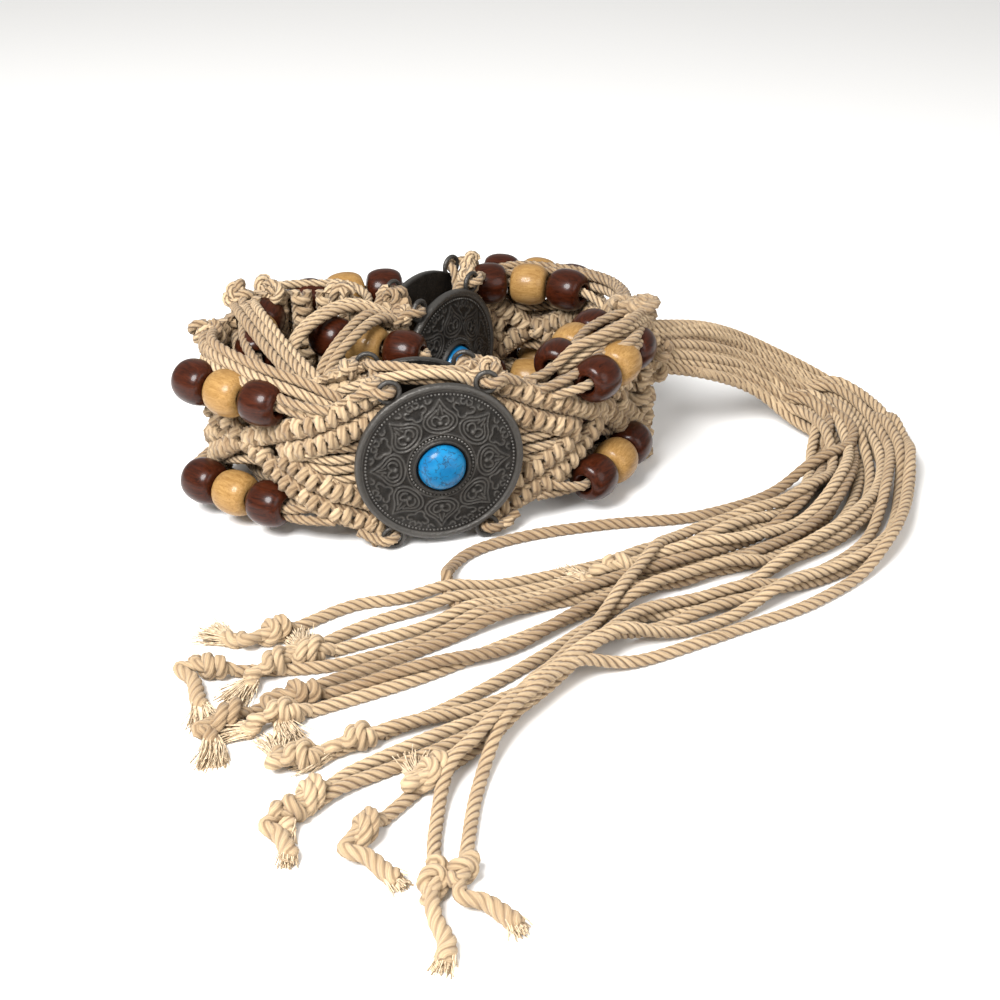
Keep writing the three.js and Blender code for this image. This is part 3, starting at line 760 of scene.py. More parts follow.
def hitchRow(layer, fromSpot, toSpot, rng, lean):
    # spots are (distance, rise); returns the paths of the cores and of the wraps round them
    fromSpot, toSpot = np.array(fromSpot, float), np.array(toSpot, float)
    length = float(np.linalg.norm(toSpot - fromSpot))
    count = max(int(length / hitches["spacing"]), 1)
    direction = (toSpot - fromSpot) / length
    square = np.array([-direction[1], direction[0]])
    cordHalf = (hitches["width"] + 0.2) / 2
    turn = np.linspace(-2.5, 2.5, 15)
    wraps = []
    for number in range(count):
        centre = fromSpot + (toSpot - fromSpot) * (number + 0.5) / count
        centre = centre + square * rng.normal(0, 0.22) + direction * rng.normal(0, 0.12)
        across = np.sin(turn) * (hitches["rowHalf"] - cordHalf) * rng.uniform(0.88, 1.12)
        out = np.cos(turn) * (hitches["depth"] - cordHalf) * rng.uniform(0.8, 1.25)
        skew = across * (lean + rng.normal(0, 0.07)) + rng.normal(0, 0.1)
        spots = centre + across[:, None] * square + skew[:, None] * direction
        wraps.append(at(layer, spots[:, 0], out, spots[:, 1]))
    shares = np.linspace(-0.02, 1.02, max(count, 6))
    spots = fromSpot + (toSpot - fromSpot) * shares[:, None]
    cores = [spots + square * hitches["coreApart"] * place for place in (-0.5, 0.5)]
    return [at(layer, core[:, 0], 0.0, core[:, 1]) for core in cores], wraps


def panelBars(layer, index):
    # each side of a panel: the neighbour, the side, where the bars start, and how far they run to the waist
    panel = layer["stations"][index]
    bars = []
    for side in (-1, 1):
        neighbour = layer["stations"][index + side]
        start = neighbour["distance"] - side * barStart(neighbour)
        bars.append((neighbour, side, start, abs(start - panel["distance"])))
    return bars


def panelRows(layer, index):
    # the rows of one panel as (from, to, lean) in distance and rise
    waist = layer["stations"][index]["distance"]
    rows = []
    for _, side, start, run in panelBars(layer, index):
        slope = (barRise - band["waistHalf"]) / run
        edgeTop, innerTop = barRise - band["edgeRow"], barRise - band["innerRow"]
        meet = innerTop / slope
        for flip in (1, -1):
            lean = hitches["lean"] * side * flip
            rows.append(((start, flip * edgeTop), (waist + side * 0.8, flip * 0.2), lean))
            if meet < run * 0.95:
                rows.append(((start, flip * innerTop), (start - side * meet, flip * 0.4), lean))
    return rows


def makeHitches(layer, seed):
    rng = np.random.default_rng(seed)
    cores, wraps = [], []
    for index, station in enumerate(layer["stations"]):
        rows = []
        if station["kind"] == "beads":
            rows = panelRows(layer, index)
        elif station["kind"] == "link":  # upright rows of knots side by side
            reach = barRise - 2.2
            places = [station["distance"] + step * hitches["linkSpacing"] for step in (-1.5, -0.5, 0.5, 1.5)]
            rows = [((place, -reach), (place, reach), 0.0) for place in places]
        for fromSpot, toSpot, lean in rows:
            rowCores, rowWraps = hitchRow(layer, fromSpot, toSpot, rng, lean)
            cores += [smoothLine(core, 1.5) for core in rowCores]
            wraps += rowWraps
    name = "hitches_" + layer["name"]
    piece = makeRopes(name, wraps, seed=21, width=hitches["width"], step=1.0, **tight)
    plain = {"width": hitches["coreWidth"], "step": 1.2, "sides": 6, "grooveDepth": 0.0}
    return joinPieces(name, [piece, makeRopes("cores_" + layer["name"], cores, seed=22, **plain)])


for seed, layer in zip((3, 4), layers):
    finishPiece(makeHitches(layer, seed), "knotted_band")
print("hitches tied")


# Loose cords of the band: behind the conchos, along the edges, round the rings and through the beads
def beadRow(layer, panel, flip):
    # the place and axis of each bead on one string
    turn = math.radians(panel["bend"])
    pitch = band["beadLength"] + 0.5 + band["beadWidth"] * 0.5 * abs(math.tan(turn / 2))
    along = panel["along"]
    rise = flip * band["beadRowRise"] - (panel.get("drop", 0) if flip > 0 else 0)
    centre = spotAt(layer, panel["distance"], band["beadOffset"], rise)
    row = []
    for place in (-1, 0, 1):
        c, s = math.cos(place * turn), math.sin(place * turn)
        axis = np.array([along[0] * c - along[1] * s, along[0] * s + along[1] * c, 0.0])
        row.append({"axis": axis, "centre": centre + (along + axis) * place * pitch / 2, "pitch": pitch})
    return row


def beadString(layer, index, flip):
    # straight through the three beads, then at each end in among the knots
    panel = layer["stations"][index]
    row = beadRow(layer, panel, flip)
    pitch = row[0]["pitch"]
    halves = []
    for _, side, _, run in panelBars(layer, index):
        bead = row[side + 1]
        away = min(pitch * 1.5 + band["beadLength"] * 0.55 + 5, run - 0.5)
        inStrap = spotAt(layer, panel["distance"] + side * away, -0.4, flip * (band["beadRowRise"] - 2.6))
        leaves = bead["centre"] + bead["axis"] * side * (pitch / 2 + 0.8)
        halves.append([inStrap, leaves, bead["centre"], row[1]["centre"] + row[1]["axis"] * side * pitch / 2])
    return smoothLine([*halves[0], *halves[1][::-1]])


crossing = {"count": 8, "apart": 2.7, "fan": 0.12, "wander": 0.16}


def crossingLines(layer, index, rng):
    # the parallel cords behind a concho, out to the slanting rows on each side
    station = layer["stations"][index]
    start = barStart(station)
    lines = []
    for number in range(crossing["count"]):
        rise = (number - (crossing["count"] - 1) / 2) * crossing["apart"]
        reaches = []
        for side in (-1, 1):
            run = abs(layer["stations"][index + side]["distance"] - station["distance"]) - start
            slope = (barRise - band["waistHalf"]) / run
            reaches.append(min(start + max(barRise - band["innerRow"] - abs(rise), 0) / slope + 1.5, start + run))
        shares = np.linspace(-1, 1, 13)
        places = station["distance"] + shares * np.where(shares < 0, *reaches)
        rises = rise * (1 + crossing["fan"] * shares**2) + rng.normal(0, crossing["wander"], len(shares))
        outs = rng.normal(0, 0.25, len(shares)) - 0.3 - 1.5 * np.abs(shares) ** 6
        lines.append(smoothLine(at(layer, places, outs, rises)))
    return lines


edgeCords = [
    {"from": 0.0, "to": 0.02, "out": 0.9, "sag": 0.0},
    {"from": 0.12, "to": 0.16, "out": -0.9, "sag": 0.6},
    {"from": 0.5, "to": 0.5, "out": -1.6, "sag": 1.0},
]


def edgeFloats(layer, index, rng):
    # the cords that span a panel's notches, from bar to bar; from and to are shares of the way down the bars
    panel = layer["stations"][index]
    bars = panelBars(layer, index)

    def onBar(which, share):
        neighbour, side, _, run = bars[which]
        share = min(share + (0.3 if neighbour["kind"] == "concho" else 0.0), 0.9)
        rise = barRise - (barRise - band["waistHalf"]) * share - 1.2
        return np.array([panel["distance"] + side * run * (1 - share), rise])

    shares = np.linspace(0, 1, 7)
    arch = np.sin(math.pi * shares)
    lines = []
    for flip in (1, -1):
        for row in edgeCords:
            a, b = onBar(0, row["from"]), onBar(1, row["to"])
            places, rises = (a + (b - a) * shares[:, None]).T
            behind = 3.2 if panel.get("drop", 0) < 0 and row["from"] < 0.5 else 0  # under raised beads
            outs = row["out"] - behind * arch + rng.normal(0, 0.2, len(shares))
            outs[0] = outs[-1] = 1.2 if row["out"] > 0 else -0.4
            lines.append(smoothLine(at(layer, places, outs, flip * (rises - row["sag"] * arch))))
    return lines


def ringLoops(layer, station):
    # a cord from the bars' corner up through each wire ring and back behind the concho
    through = standoff + band["ringWire"] / 2
    points = [
        (ringOut + 8.5, 1.6, edgeRise - 4.2),
        (ringOut + 4.4, through - 0.6, edgeRise - 2.2),
        (ringOut + 1.6, through + 1.6, ringUp + 0.2),
        (ringOut - 0.2, through + 0.6, ringUp + 0.1),
        (ringOut - 1.2, through - 2.2, ringUp - 0.6),
        (ringOut - 2.0, 0.0, ringUp - 3.6),
        (ringOut - 2.6, -0.6, ringUp - 8.5),
    ]
    return [
        smoothLine([spotAt(layer, station["distance"] + side * a, out, flip * rise) for a, out, rise in points])
        for side in (-1, 1)
        for flip in (1, -1)
    ]


def clusterLines(centre, rng, count, radius):
    # a small lump of knots: short turns of cord round one point
    lines = []
    for _ in range(count):
        axis = unit(rng.normal(0, 1, 3))
        first = unit(np.cross(axis, up + 0.01))
        second = np.cross(axis, first)
        turn = np.linspace(0, rng.uniform(4.2, 5.4), 14) + rng.uniform(0, 6)
        spot = centre + rng.normal(0, 1.1, 3)
        lines.append(spot + radius * (np.cos(turn)[:, None] * first + np.sin(turn)[:, None] * second))
    return lines


lumps = {"link": (5, 2.3), "concho": (3, 1.9)}  # turns and radius of the knots at a station's corners


def makeLooseCords(layer, seed):
    rng = np.random.default_rng(seed)
    lines = []
    for index, station in enumerate(layer["stations"]):
        if station["kind"] == "beads":
            lines += [beadString(layer, index, flip) for flip in (1, -1)]
            lines += edgeFloats(layer, index, rng)
        elif station["kind"] == "concho":
            lines += crossingLines(layer, index, rng)
            lines += ringLoops(layer, station)
        if station["kind"] in lumps:
            for side in (-1, 1):
                for flip in (1, -1):
                    place = station["distance"] + side * (barStart(station) + 1.8)
                    spot = spotAt(layer, place, 0.6, flip * (barRise - 2.4))
                    lines += clusterLines(spot, rng, *lumps[station["kind"]])
    return makeRopes("cords_" + layer["name"], lines, seed=31, width=2.7, step=0.9, sides=8, grooveDepth=0.14)


# Slack cords that cross from one part of the band to another, side by side in flat groups
looseSpans = [
    {"count": 3, "apart": (0.9, 1.4, -2.0),
     "points": [(33, -24, 37.5), (38, -21, 41), (44, -18, 43), (51, -12.5, 45), (56, -2, 43)]},
    {"count": 2, "apart": (0.6, -1.2, -2.2),
     "points": [(35, -25, 34.5), (43, -22, 38.5), (51, -17, 41.5), (55.5, -6, 41)]},
    {"count": 3, "apart": (0.6, 1.5, 2.1),
     "points": [(-55, -10, 41), (-53, -25, 43.5), (-41, -38, 42.5), (-30, -43, 40.5), (-20, -45, 37)]},
    {"count": 3, "apart": (2.4, 0.9, 0.1),
     "points": [(-49.5, 9, 42), (-45.5, -5, 44.5), (-36.5, -21, 42.5), (-27.5, -35, 38.5), (-23, -39, 34)]},
    {"count": 2, "apart": (1.4, -2.3, 0.3),
     "points": [(-8, 2, 41), (-19, 1.5, 44.5), (-28, -4, 44), (-33.5, -13, 40), (-36, -22, 32), (-36, -28.5, 25)]},
    {"count": 2, "apart": (2.3, -1.2, 0),
     "points": [(-8, 0, 41), (-13.5, -6, 45), (-19, -15, 44), (-24, -24, 40.5), (-26, -32, 37)]},
    {"count": 2, "apart": (0, -0.3, -2.6),
     "points": [(-15, -31, 41), (-8, -37.3, 43.5), (2, -38.3, 43.5), (10.5, -33.5, 41)]},
    {"count": 1, "apart": (0, 0, 0),
     "points": [(-27, -33, 33), (-14, -38.5, 41.5), (-3, -40.2, 44), (9, -39, 43), (17, -36, 37)]},
]


def makeLooseSpans():
    rng = np.random.default_rng(61)
    lines = []
    for span in looseSpans:
        for number in range(span["count"]):
            shift = np.array(span["apart"]) * (number - (span["count"] - 1) / 2)
            points = np.array(span["points"], float) + shift - ringCentre
            points[1:-1] += rng.normal(0, 0.35, (len(points) - 2, 3))
            lines.append(smoothLine(points))
    return makeRopes("loose_spans", lines, seed=33, width=2.8, step=0.9)


for seed, layer in zip((7, 8), layers):
    finishPiece(makeLooseCords(layer, seed), "knotted_band")
finishPiece(makeLooseSpans(), "knotted_band")
print("loose cords strung")


# End knots: the upright lumps that the ends and the fold close on, and the fringe's own head knot
endKnots = {"posts": [(56.5, 3), (55, 1), (50.5, 3)], "radius": 2.5, "spacing": 2.7, "width": 3.0}
headKnot = {"place": (59.5, 3), "heights": (25, 29, 33, 37), "turns": 2, "radius": 1.9, "width": 2.9}


def makeEndKnots():
    rng = np.random.default_rng(17)
    low = endKnots["width"] / 2
    count = int((2 * middle - 2.8) / endKnots["spacing"])
    lines = []
    for x, y in endKnots["posts"]:
        base = np.array([x, y, 0.0]) - ringCentre
        for number in range(count + 1):
            z = low + number * 2 * (middle - low) / count
            radius = endKnots["radius"] * rng.uniform(0.85, 1.15)
            turn = np.linspace(0, 2 * math.pi * 0.96, 16) + rng.uniform(0, 6)
            tip = rng.normal(0, 0.22, 2) * (0.3 if number in (0, count) else 1)
            lift = radius * (np.cos(turn) * tip[0] + np.sin(turn) * tip[1])
            height = np.clip(z + lift, low - 0.1, 2 * middle - low + 0.1)
            lines.append(base + np.column_stack([np.cos(turn) * radius, np.sin(turn) * radius, height]))
    return makeRopes("end_knots", lines, seed=41, width=endKnots["width"], step=0.9, **tight)


def makeHeadKnot():
    # small wraps where the strands leave the band
    rng = np.random.default_rng(18)
    lines = []
    for z in headKnot["heights"]:
        centre = np.array([*headKnot["place"], z]) - ringCentre
        lines += clusterLines(centre, rng, headKnot["turns"], headKnot["radius"])
    return makeRopes("head_knot", lines, seed=42, width=headKnot["width"], step=0.9, **tight)


finishPiece(makeEndKnots(), "knotted_band")
finishPiece(makeHeadKnot(), "fringe")
print("end knots tied")


# Beads: turned wooden barrels with a bored hole
barrel = {"segments": 36, "endRadius": 3.0, "round": 2.2, "chamfer": (0.35, 0.5)}


def woodMaterial(name, dark, light, roughness, specks=None):
    coat = {"Coat Weight": 0.15, "Coat Roughness": 0.1}
    material, tree, shader = newMaterial(name, {"Roughness": roughness, "Specular IOR Level": 0.12, **coat})
    grainAt = attribute(tree, "grain", "Vector")
    lengthwise = stretched(tree, grainAt, (1.0, 1.0, 0.16))
    grain = noise(tree, lengthwise, 1.5, 6.0, 0.62, 0.7)
    shade = weighted(tree, (grain, 0.75), (noise(tree, lengthwise, 7.0, 3.0), 0.25))
    colour = rampNode(tree, shade, (0.33, dark), (0.66, light))
    if specks:
        spot = rampNode(tree, noise(tree, grainAt, 3.0), (0.60, (0, 0, 0)), (0.70, (1, 1, 1)))
        colour = mixNode(tree, times(tree, spot, 0.55), colour, specks)
    connect(tree, shader, {"Base Color": colour, "Normal": bumpNode(tree, shade, 0.12, 0.0002)})
    return material


darkWood = woodMaterial("dark wood", (0.009, 0.0022, 0.0009), (0.05, 0.0105, 0.0036), 0.3)
lightWood = woodMaterial("light wood", (0.19, 0.095, 0.026), (0.33, 0.195, 0.068), 0.4, (0.12, 0.05, 0.014))


def beadProfile(width, length):
    # the outside from bore to bore as radius and place along; the bore closes it
    turn = np.linspace(-1, 1, 21)
    half, rim, bore = length / 2, barrel["endRadius"], band["beadBore"] / 2
    wide, deep = barrel["chamfer"]
    radius = rim + (width / 2 - rim) * (1 - np.abs(turn) ** barrel["round"]) ** (1 / barrel["round"])
    ends = [(bore, deep - half), (bore + wide, -half)], [(bore + wide, half), (bore, half - deep)]
    return np.array([*ends[0], *zip(radius, turn * half), *ends[1]])


def makeBead(name, bead, material, rng):
    width = band["beadWidth"] * rng.uniform(0.985, 1.012)
    length = band["beadLength"] * rng.uniform(0.98, 1.02)
    profile = beadProfile(width, length)
    count = barrel["segments"]
    angles = around(count)
    radius, along = profile[:, None, 0], np.broadcast_to(profile[:, None, 1], (len(profile), count))
    local = np.stack([radius * np.cos(angles), radius * np.sin(angles), along], axis=2).reshape(-1, 3)
    first = unit(np.cross(bead["axis"], up))
    turned = np.stack([first, np.cross(bead["axis"], first), bead["axis"]])
    grain = local + rng.uniform(-50, 50, 3)
    faces = gridFaces(len(profile), count, closed=True)
    piece = addObject(name, newMesh(name, bead["centre"] + local @ turned, faces, material, grain=grain))
    fixNormals(piece)
    return piece


def makeBeads():
    rng = np.random.default_rng(29)
    for layer in layers:
        for panel in [station for station in layer["stations"] if station["kind"] == "beads"]:
            for edge, flip in (("top", 1), ("bottom", -1)):
                for word, bead in zip(("before", "middle", "after"), beadRow(layer, panel, flip)):
                    node = f"bead_{layer['name']}_{panel['name']}_{edge}_{word}"
                    material, slot = (lightWood, "light_wood") if word == "middle" else (darkWood, "dark_wood")
                    finishPiece(makeBead("turned_" + node, bead, material, rng), node)


makeBeads()
print("beads turned")


# Conchos: cast discs with a rolled rim, dots, curls, eight leaves, a beaded bezel, a stone and four wire rings
concho = {
    "radius": 21.0,
    "thickness": 1.9,
    "domeRise": 1.5,
    "rings": 84,
    "innerRings": 16,
    "spokes": 288,
    "field": (8.0, 18.0),
    "rimInner": 19.1,
    "rollRadius": 20.1,
    "bezelOuter": 7.5,
    "bezelInner": 6.2,
    "bezelRise": 1.12,
    "stoneRadius": 5.9,
    "stoneRise": 4.0,
    "leaves": 8,
    "lineWidth": 0.27,
    "lineRise": 0.4,
    "seed": {"radius": 11.3, "width": 0.6, "rise": 0.5},
    "innerLine": {"radius": 8.5, "width": 0.3, "rise": 0.3},
    "rimDots": {"count": 124, "radius": 18.45, "size": 0.34, "sunk": 0.1},
    "bezelDots": {"count": 52, "radius": 7.85, "size": 0.42, "sunk": 0.12},
}
crown = concho["thickness"] + concho["domeRise"]


def leafLines():
    # one leaf's raised lines, as points across and outwards in millimetres, on the right side only
    bows = [
        [(0, 8.9), (2.3, 9.3), (3.9, 10.6), (4.1, 12.1), (3.2, 13.6), (1.9, 14.6), (1.0, 15.7), (0, 17.3)],
        [(0, 9.8), (1.8, 10.1), (3.0, 11.1), (3.2, 12.1), (2.5, 13.1), (1.5, 13.9), (0.9, 14.6)],
        [(0, 12.2), (0.8, 12.9), (1.6, 13.0), (2.1, 12.2), (1.8, 11.1), (1.0, 10.7)],
        [(0.6, 13.6), (0.35, 14.8), (0, 15.8)],
        [(5.0, 12.2), (4.4, 12.9), (4.4, 13.9), (3.6, 14.7), (3.4, 15.6), (4.2, 16.1), (4.8, 15.5)],
        [(2.0, 17.2), (2.7, 16.4), (3.5, 16.8), (3.2, 17.5)],
        [(6.7, 16.2), (5.9, 15.4), (5.2, 16.0), (5.4, 16.8), (6.1, 16.9)],
    ]
    return [smoothLine([(x, y, 0) for x, y in bow], 0.3)[:, :2] for bow in bows]


def raised(distance, line):
    return line["rise"] * np.exp(-((distance / line["width"]) ** 2))


def conchoRelief(radius, angle):
    # the raised pattern's height over the smooth dome, in millimetres
    sector = 2 * math.pi / concho["leaves"]
    local = np.abs((angle + sector / 2) % sector - sector / 2)
    across, outward = radius * np.sin(local), radius * np.cos(local)
    spots = np.stack([across.ravel(), outward.ravel()], axis=1)
    nearest = np.full(len(spots), 9.0)
    for line in leafLines():
        for start, stop in zip(line[::2], line[2::2]):
            span = stop - start
            share = np.clip(((spots - start) @ span) / max(span @ span, 1e-9), 0, 1)
            nearest = np.minimum(nearest, np.linalg.norm(spots - start - share[:, None] * span, axis=1))
    relief = raised(nearest.reshape(radius.shape), {"rise": concho["lineRise"], "width": concho["lineWidth"]})
    relief += raised(np.hypot(across, outward - concho["seed"]["radius"]), concho["seed"])
    relief += raised(radius - concho["innerLine"]["radius"], concho["innerLine"])
    return np.where((radius > concho["field"][0]) & (radius < concho["field"][1]), relief, 0)


def conchoHeight(radius, angle):
    slope = concho["domeRise"] / (concho["radius"] - 2.2 - concho["bezelOuter"])
    height = np.minimum(crown - slope * (radius - concho["bezelOuter"]), crown) + conchoRelief(radius, angle)
    rim = np.clip((radius - concho["rimInner"]) / 0.7, 0, 1)
    roll = concho["thickness"] * 0.72 + 0.85 * np.sqrt(np.clip(1 - (radius - concho["rollRadius"]) ** 2, 0, 1))
    height = height * (1 - rim) + roll * rim
    # the bezel's wall round the stone
    wall = np.clip((radius - concho["bezelInner"]) / 0.25, 0, 1) * np.clip((concho["bezelOuter"] - radius) / 0.4, 0, 1)
    return np.where(radius < concho["bezelInner"], crown - 0.2, height + wall * concho["bezelRise"])


def conchoMesh(name):
    # a polar grid on the face, closed by a flat back; local X along the belt, Y out, Z up
    inner = np.linspace(5.4, concho["bezelOuter"] + 0.4, concho["innerRings"])
    outer = np.linspace(concho["bezelOuter"] + 0.55, concho["radius"], concho["rings"] - concho["innerRings"])
    spokes = concho["spokes"]
    radius, angle = np.meshgrid(np.concatenate([inner, outer]), around(spokes), indexing="ij")
    height = conchoHeight(radius, angle)
    height[-1] = concho["thickness"] * 0.45
    shine = conchoRelief(radius, angle) + np.where(radius > 19.2, 0.35, 0) + np.where(radius < 7.6, 0.2, 0)
    radius = np.vstack([radius, np.full((1, spokes), concho["radius"] - 0.4)])
    angle = np.vstack([angle, angle[:1]])
    height = np.vstack([height, np.zeros((1, spokes))])
    grid = np.stack([radius * np.sin(angle), height, radius * np.cos(angle)], axis=2).reshape(-1, 3)
    points = np.vstack([grid, [[0, 0, 0], [0, height[0, 0], 0]]])
    faces = gridFaces(len(radius), spokes)
    faces += fanFaces(len(grid), len(grid) - spokes, spokes)
    faces += fanFaces(len(grid) + 1, 0, spokes, turned=True)
    relief = np.concatenate([shine.ravel(), np.zeros(spokes + 2)])
    mesh = newMesh(name, points, faces, gunmetal, relief=relief, face=points)
    smooth = np.ones(len(faces), bool)
    smooth[-2 * spokes :] = False
    mesh.polygons.foreach_set("use_smooth", smooth)
    return mesh


def gunmetalMaterial():
    looks = {"Metallic": 0.6, "Roughness": 0.42, "Specular IOR Level": 0.35}
    material, tree, shader = newMaterial("antique gunmetal", looks)
    face = attribute(tree, "face", "Vector")
    grit = noise(tree, face, 4.0, 4.0, 0.7)
    cloud = noise(tree, face, 0.35, 5.0, 0.6)
    base = rampNode(tree, cloud, (0.3, (0.008, 0.007, 0.006)), (0.7, (0.026, 0.023, 0.020)))
    rubbed = rampNode(tree, attribute(tree, "relief"), (0.1, (0, 0, 0)), (0.42, (1, 1, 1)))
    rough = mathNode(tree, "ADD", weighted(tree, (grit, 0.28), (rubbed, -0.1)), 0.34)
    cast = bumpNode(tree, noise(tree, face, 1.1, 3.0, 0.6), 0.5, 0.0005)
    connect(tree, shader, {
        "Base Color": mixNode(tree, times(tree, rubbed, 0.55), base, (0.13, 0.122, 0.112)),
        "Roughness": rough,
        "Normal": bumpNode(tree, grit, 0.25, 0.0002, Normal=cast),
    })
    return material


def stoneMaterial():
    looks = {"Roughness": 0.3, "Specular IOR Level": 0.15, "Coat Weight": 0.12, "Coat Roughness": 0.1}
    material, tree, shader = newMaterial("veined blue stone", looks)
    face = attribute(tree, "face", "Vector")
    push = scaledVector(tree, noise(tree, face, 0.5, 3.0, output="Color"), 4.0)
    shifted = addNode(tree, "ShaderNodeVectorMath", {0: face, 1: push}, operation="ADD").outputs[0]
    cells = addNode(tree, "ShaderNodeTexVoronoi", {"Vector": shifted, "Scale": 0.42}, feature="DISTANCE_TO_EDGE")
    vein = rampNode(tree, cells.outputs["Distance"], (0.0, (1, 1, 1)), (0.07, (0, 0, 0)))
    keep = rampNode(tree, noise(tree, face, 0.45), (0.40, (0, 0, 0)), (0.5, (1, 1, 1)))
    cloud = noise(tree, face, 0.25, 3.0)
    base = rampNode(tree, cloud, (0.3, (0.003, 0.085, 0.215)), (0.7, (0.007, 0.155, 0.33)))
    factor = times(tree, times(tree, vein, keep), 0.92)
    connect(tree, shader, {"Base Color": mixNode(tree, factor, base, (0.012, 0.03, 0.06))})
    return material


gunmetal = gunmetalMaterial()
turquoise = stoneMaterial()


def dotTree():
    # low round dots in a ring about the Y axis
    inputs = {"Count": "Int", "Ring Radius": "Float", "Height": "Float", "Dot Size": "Float", "Seed": "Int"}
    tree, given = newTree("ring of dots", {**inputs, "Material": "Material"})
    circle = {"Resolution": given["Count"], "Radius": given["Ring Radius"]}
    circle = geometryNode(tree, "CurvePrimitiveCircle", circle)
    points = geometryNode(tree, "CurveToPoints", {"Curve": circle}, mode="EVALUATED")
    dot = geometryNode(tree, "MeshUVSphere", {"Segments": 8, "Rings": 6, "Radius": given["Dot Size"]})
    size = randomNode(tree, {2: 0.88, 3: 1.1, "Seed": given["Seed"]})
    placed = geometryNode(tree, "InstanceOnPoints", {"Points": points, "Instance": dot, "Scale": size})
    upright = geometryNode(tree, "Transform", {"Geometry": placed, "Rotation": (math.pi / 2, 0, 0)})
    lift = addNode(tree, "ShaderNodeCombineXYZ", {0: 0.0, 1: given["Height"], 2: 0.0}).outputs[0]
    moved = geometryNode(tree, "Transform", {"Geometry": upright, "Translation": lift})
    real = geometryNode(tree, "RealizeInstances", {"Geometry": moved})
    inMillimetres = scaledVector(tree, geometryNode(tree, "InputPosition"), 1 / mm)
    kept = store(tree, real, "face", inMillimetres, "FLOAT_VECTOR")
    return endTree(tree, store(tree, kept, "relief", 0.5), given["Material"])


ringOfDots = dotTree()


def dotMesh(name, dots):
    ground = float(conchoHeight(np.array([dots["radius"]]), np.array([0.2]))[0])
    inputs = {
        "Count": dots["count"],
        "Ring Radius": dots["radius"] * mm,
        "Height": (ground - dots["sunk"]) * mm,
        "Dot Size": dots["size"] * mm,
        "Seed": 3,
        "Material": gunmetal,
    }
    return treeMesh(name, addObject(name, bpy.data.meshes.new(name)), ringOfDots, inputs)


def seatedPart(mesh, layer, station):
    # moves a mesh from a concho's own axes to its seat on the band
    origin = spotAt(layer, station["distance"], standoff, 0)
    facing = spotAt(layer, station["distance"], standoff + 1, 0) - origin
    seat = np.stack([[facing[1], -facing[0], 0.0], facing, up])
    movePoints(mesh, lambda local: origin * mm + local @ seat)
    return addObject(mesh.name, mesh)


wireRing = {"segments": 40, "sides": 12}


def ringMesh(name, angle):
    # one wire ring, soldered on at its angle from the top
    tube, radius = band["ringWire"] / 2, (band["ringBore"] + band["ringWire"]) / 2
    u, v = np.meshgrid(around(wireRing["segments"]), around(wireRing["sides"]), indexing="ij")
    reach = radius + tube * np.cos(v)
    points = np.stack([reach * np.cos(u), tube * np.sin(v), reach * np.sin(u)], axis=2).reshape(-1, 3)
    points += [ringReach * math.sin(angle), tube, ringReach * math.cos(angle)]
    faces = gridFaces(wireRing["segments"], wireRing["sides"], closed=True, turned=True)
    return newMesh(name, points, faces, gunmetal, relief=np.full(len(points), 0.3), face=points)


domeGrid = {"rows": 23, "segments": 64}


def stoneMesh(name, rng):
    rows, count = domeGrid["rows"], domeGrid["segments"]
    seat = crown + 0.1
    turn = np.linspace(0, math.pi / 2, rows + 1)[1:, None]
    radius = concho["stoneRadius"] * np.sin(turn) ** 0.9
    height = np.broadcast_to(seat + concho["stoneRise"] * np.cos(turn) ** 0.85, (rows, count))
    angles = around(count)
    grid = np.stack([radius * np.cos(angles), height, radius * np.sin(angles)], axis=2).reshape(-1, 3)
    points = np.vstack([grid, [[0, seat + concho["stoneRise"], 0], [0, seat, 0]]])
    faces = gridFaces(rows, count, turned=True)
    faces += fanFaces(len(grid), 0, count)
    faces += fanFaces(len(grid) + 1, len(grid) - count, count, turned=True)
    return newMesh(name, points, faces, turquoise, face=points + rng.uniform(-40, 40, 3))


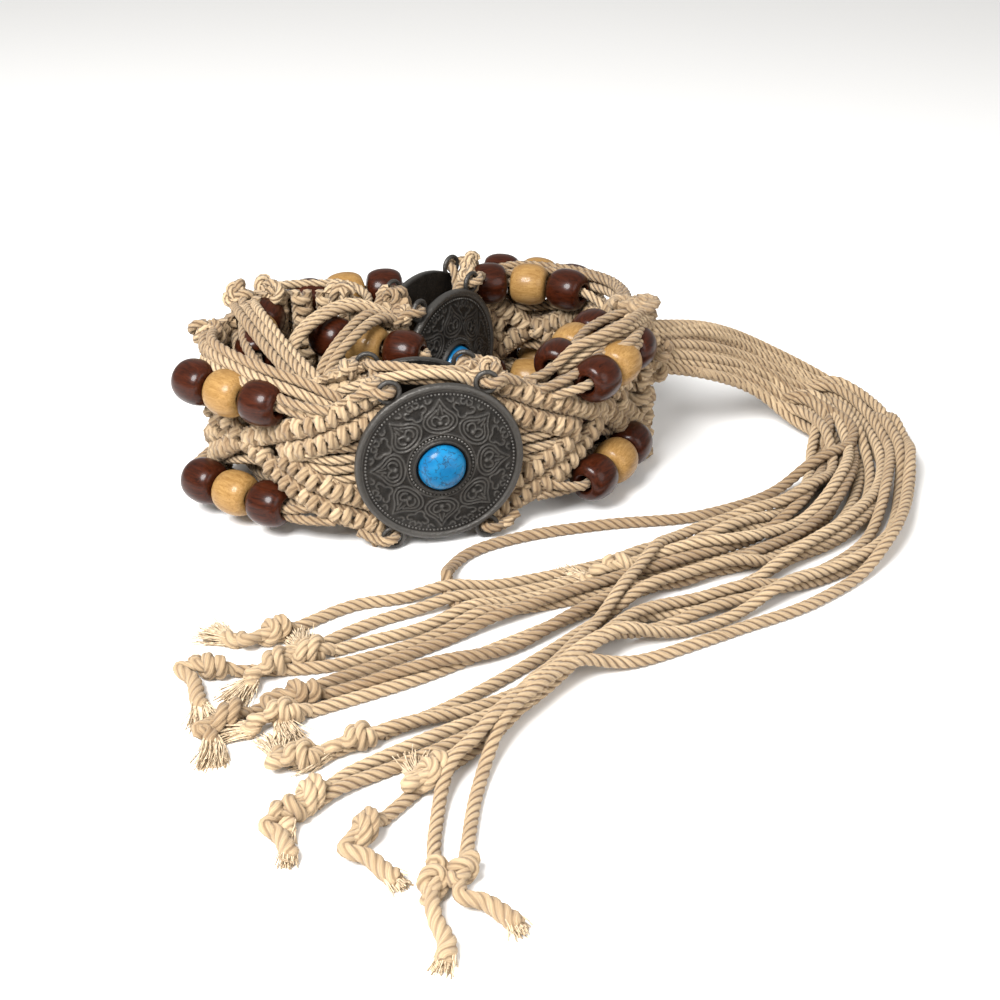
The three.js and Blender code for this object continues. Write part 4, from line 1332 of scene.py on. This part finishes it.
def makeConchos():
    rng = np.random.default_rng(5)
    tilt = band["ringAngle"]
    for layer in layers:
        for station in [station for station in layer["stations"] if station["kind"] == "concho"]:
            place = f"{layer['name']}_{station['name']}"
            meshes = [conchoMesh("cast_" + place)]
            meshes += [ringMesh("ring_" + place, angle) for angle in (tilt, math.pi - tilt, math.pi + tilt, -tilt)]
            meshes += [dotMesh(f"{key}_{place}", concho[key]) for key in ("rimDots", "bezelDots")]
            disc = joinPieces("cast_concho_" + place, [seatedPart(mesh, layer, station) for mesh in meshes])
            stone = seatedPart(stoneMesh("polished_stone_" + place, rng), layer, station)
            for piece, slot, node in ((disc, "concho_metal", "concho_"), (stone, "blue_stone", "stone_")):
                fixNormals(piece)
                finishPiece(piece, node + place)


makeConchos()
print("conchos cast")

# Floor and light
studio = {
    "floorColour": (0.93, 0.925, 0.915),
    "floorHalf": 6.0,
    "world": 0.52,
    "aim": (20, -40, 15),
    "key": {"place": (-220, -430, 520), "size": 0.34, "power": 10.6},
    "fill": {"place": (420, -420, 300), "size": 0.5, "power": 1.6},
}


def makeFloor():
    material, tree, shader = newMaterial("pale floor", {"Roughness": 0.8})
    cloud = noise(tree, addNode(tree, "ShaderNodeTexCoord").outputs["Object"], 3.0)
    low = tuple(value * 0.985 for value in studio["floorColour"])
    connect(tree, shader, {"Base Color": rampNode(tree, cloud, (0.3, low), (0.7, studio["floorColour"]))})
    corners = np.array([(-1, -1, 0), (1, -1, 0), (1, 1, 0), (-1, 1, 0)]) * studio["floorHalf"]
    addObject("floor", newMesh("floor", corners / mm, [(0, 1, 2, 3)], material))


def areaLight(name):
    data = bpy.data.lights.new(name, "AREA")
    data.shape = "DISK"
    data.size = studio[name]["size"]
    data.energy = studio[name]["power"]
    light = addObject(name, data)
    light.location = Vector(studio[name]["place"]) * mm
    light.rotation_euler = (Vector(studio["aim"]) * mm - light.location).to_track_quat("-Z", "Y").to_euler()


def makeStudio():
    world = bpy.data.worlds.new("studio")
    world.use_nodes = True
    background = world.node_tree.nodes["Background"]
    background.inputs["Color"].default_value = (1, 0.99, 0.97, 1)
    background.inputs["Strength"].default_value = studio["world"]
    bpy.context.scene.world = world
    areaLight("key")
    areaLight("fill")
    bpy.context.scene.view_settings.view_transform = "Standard"


makeFloor()
makeStudio()
print("floor and light set")
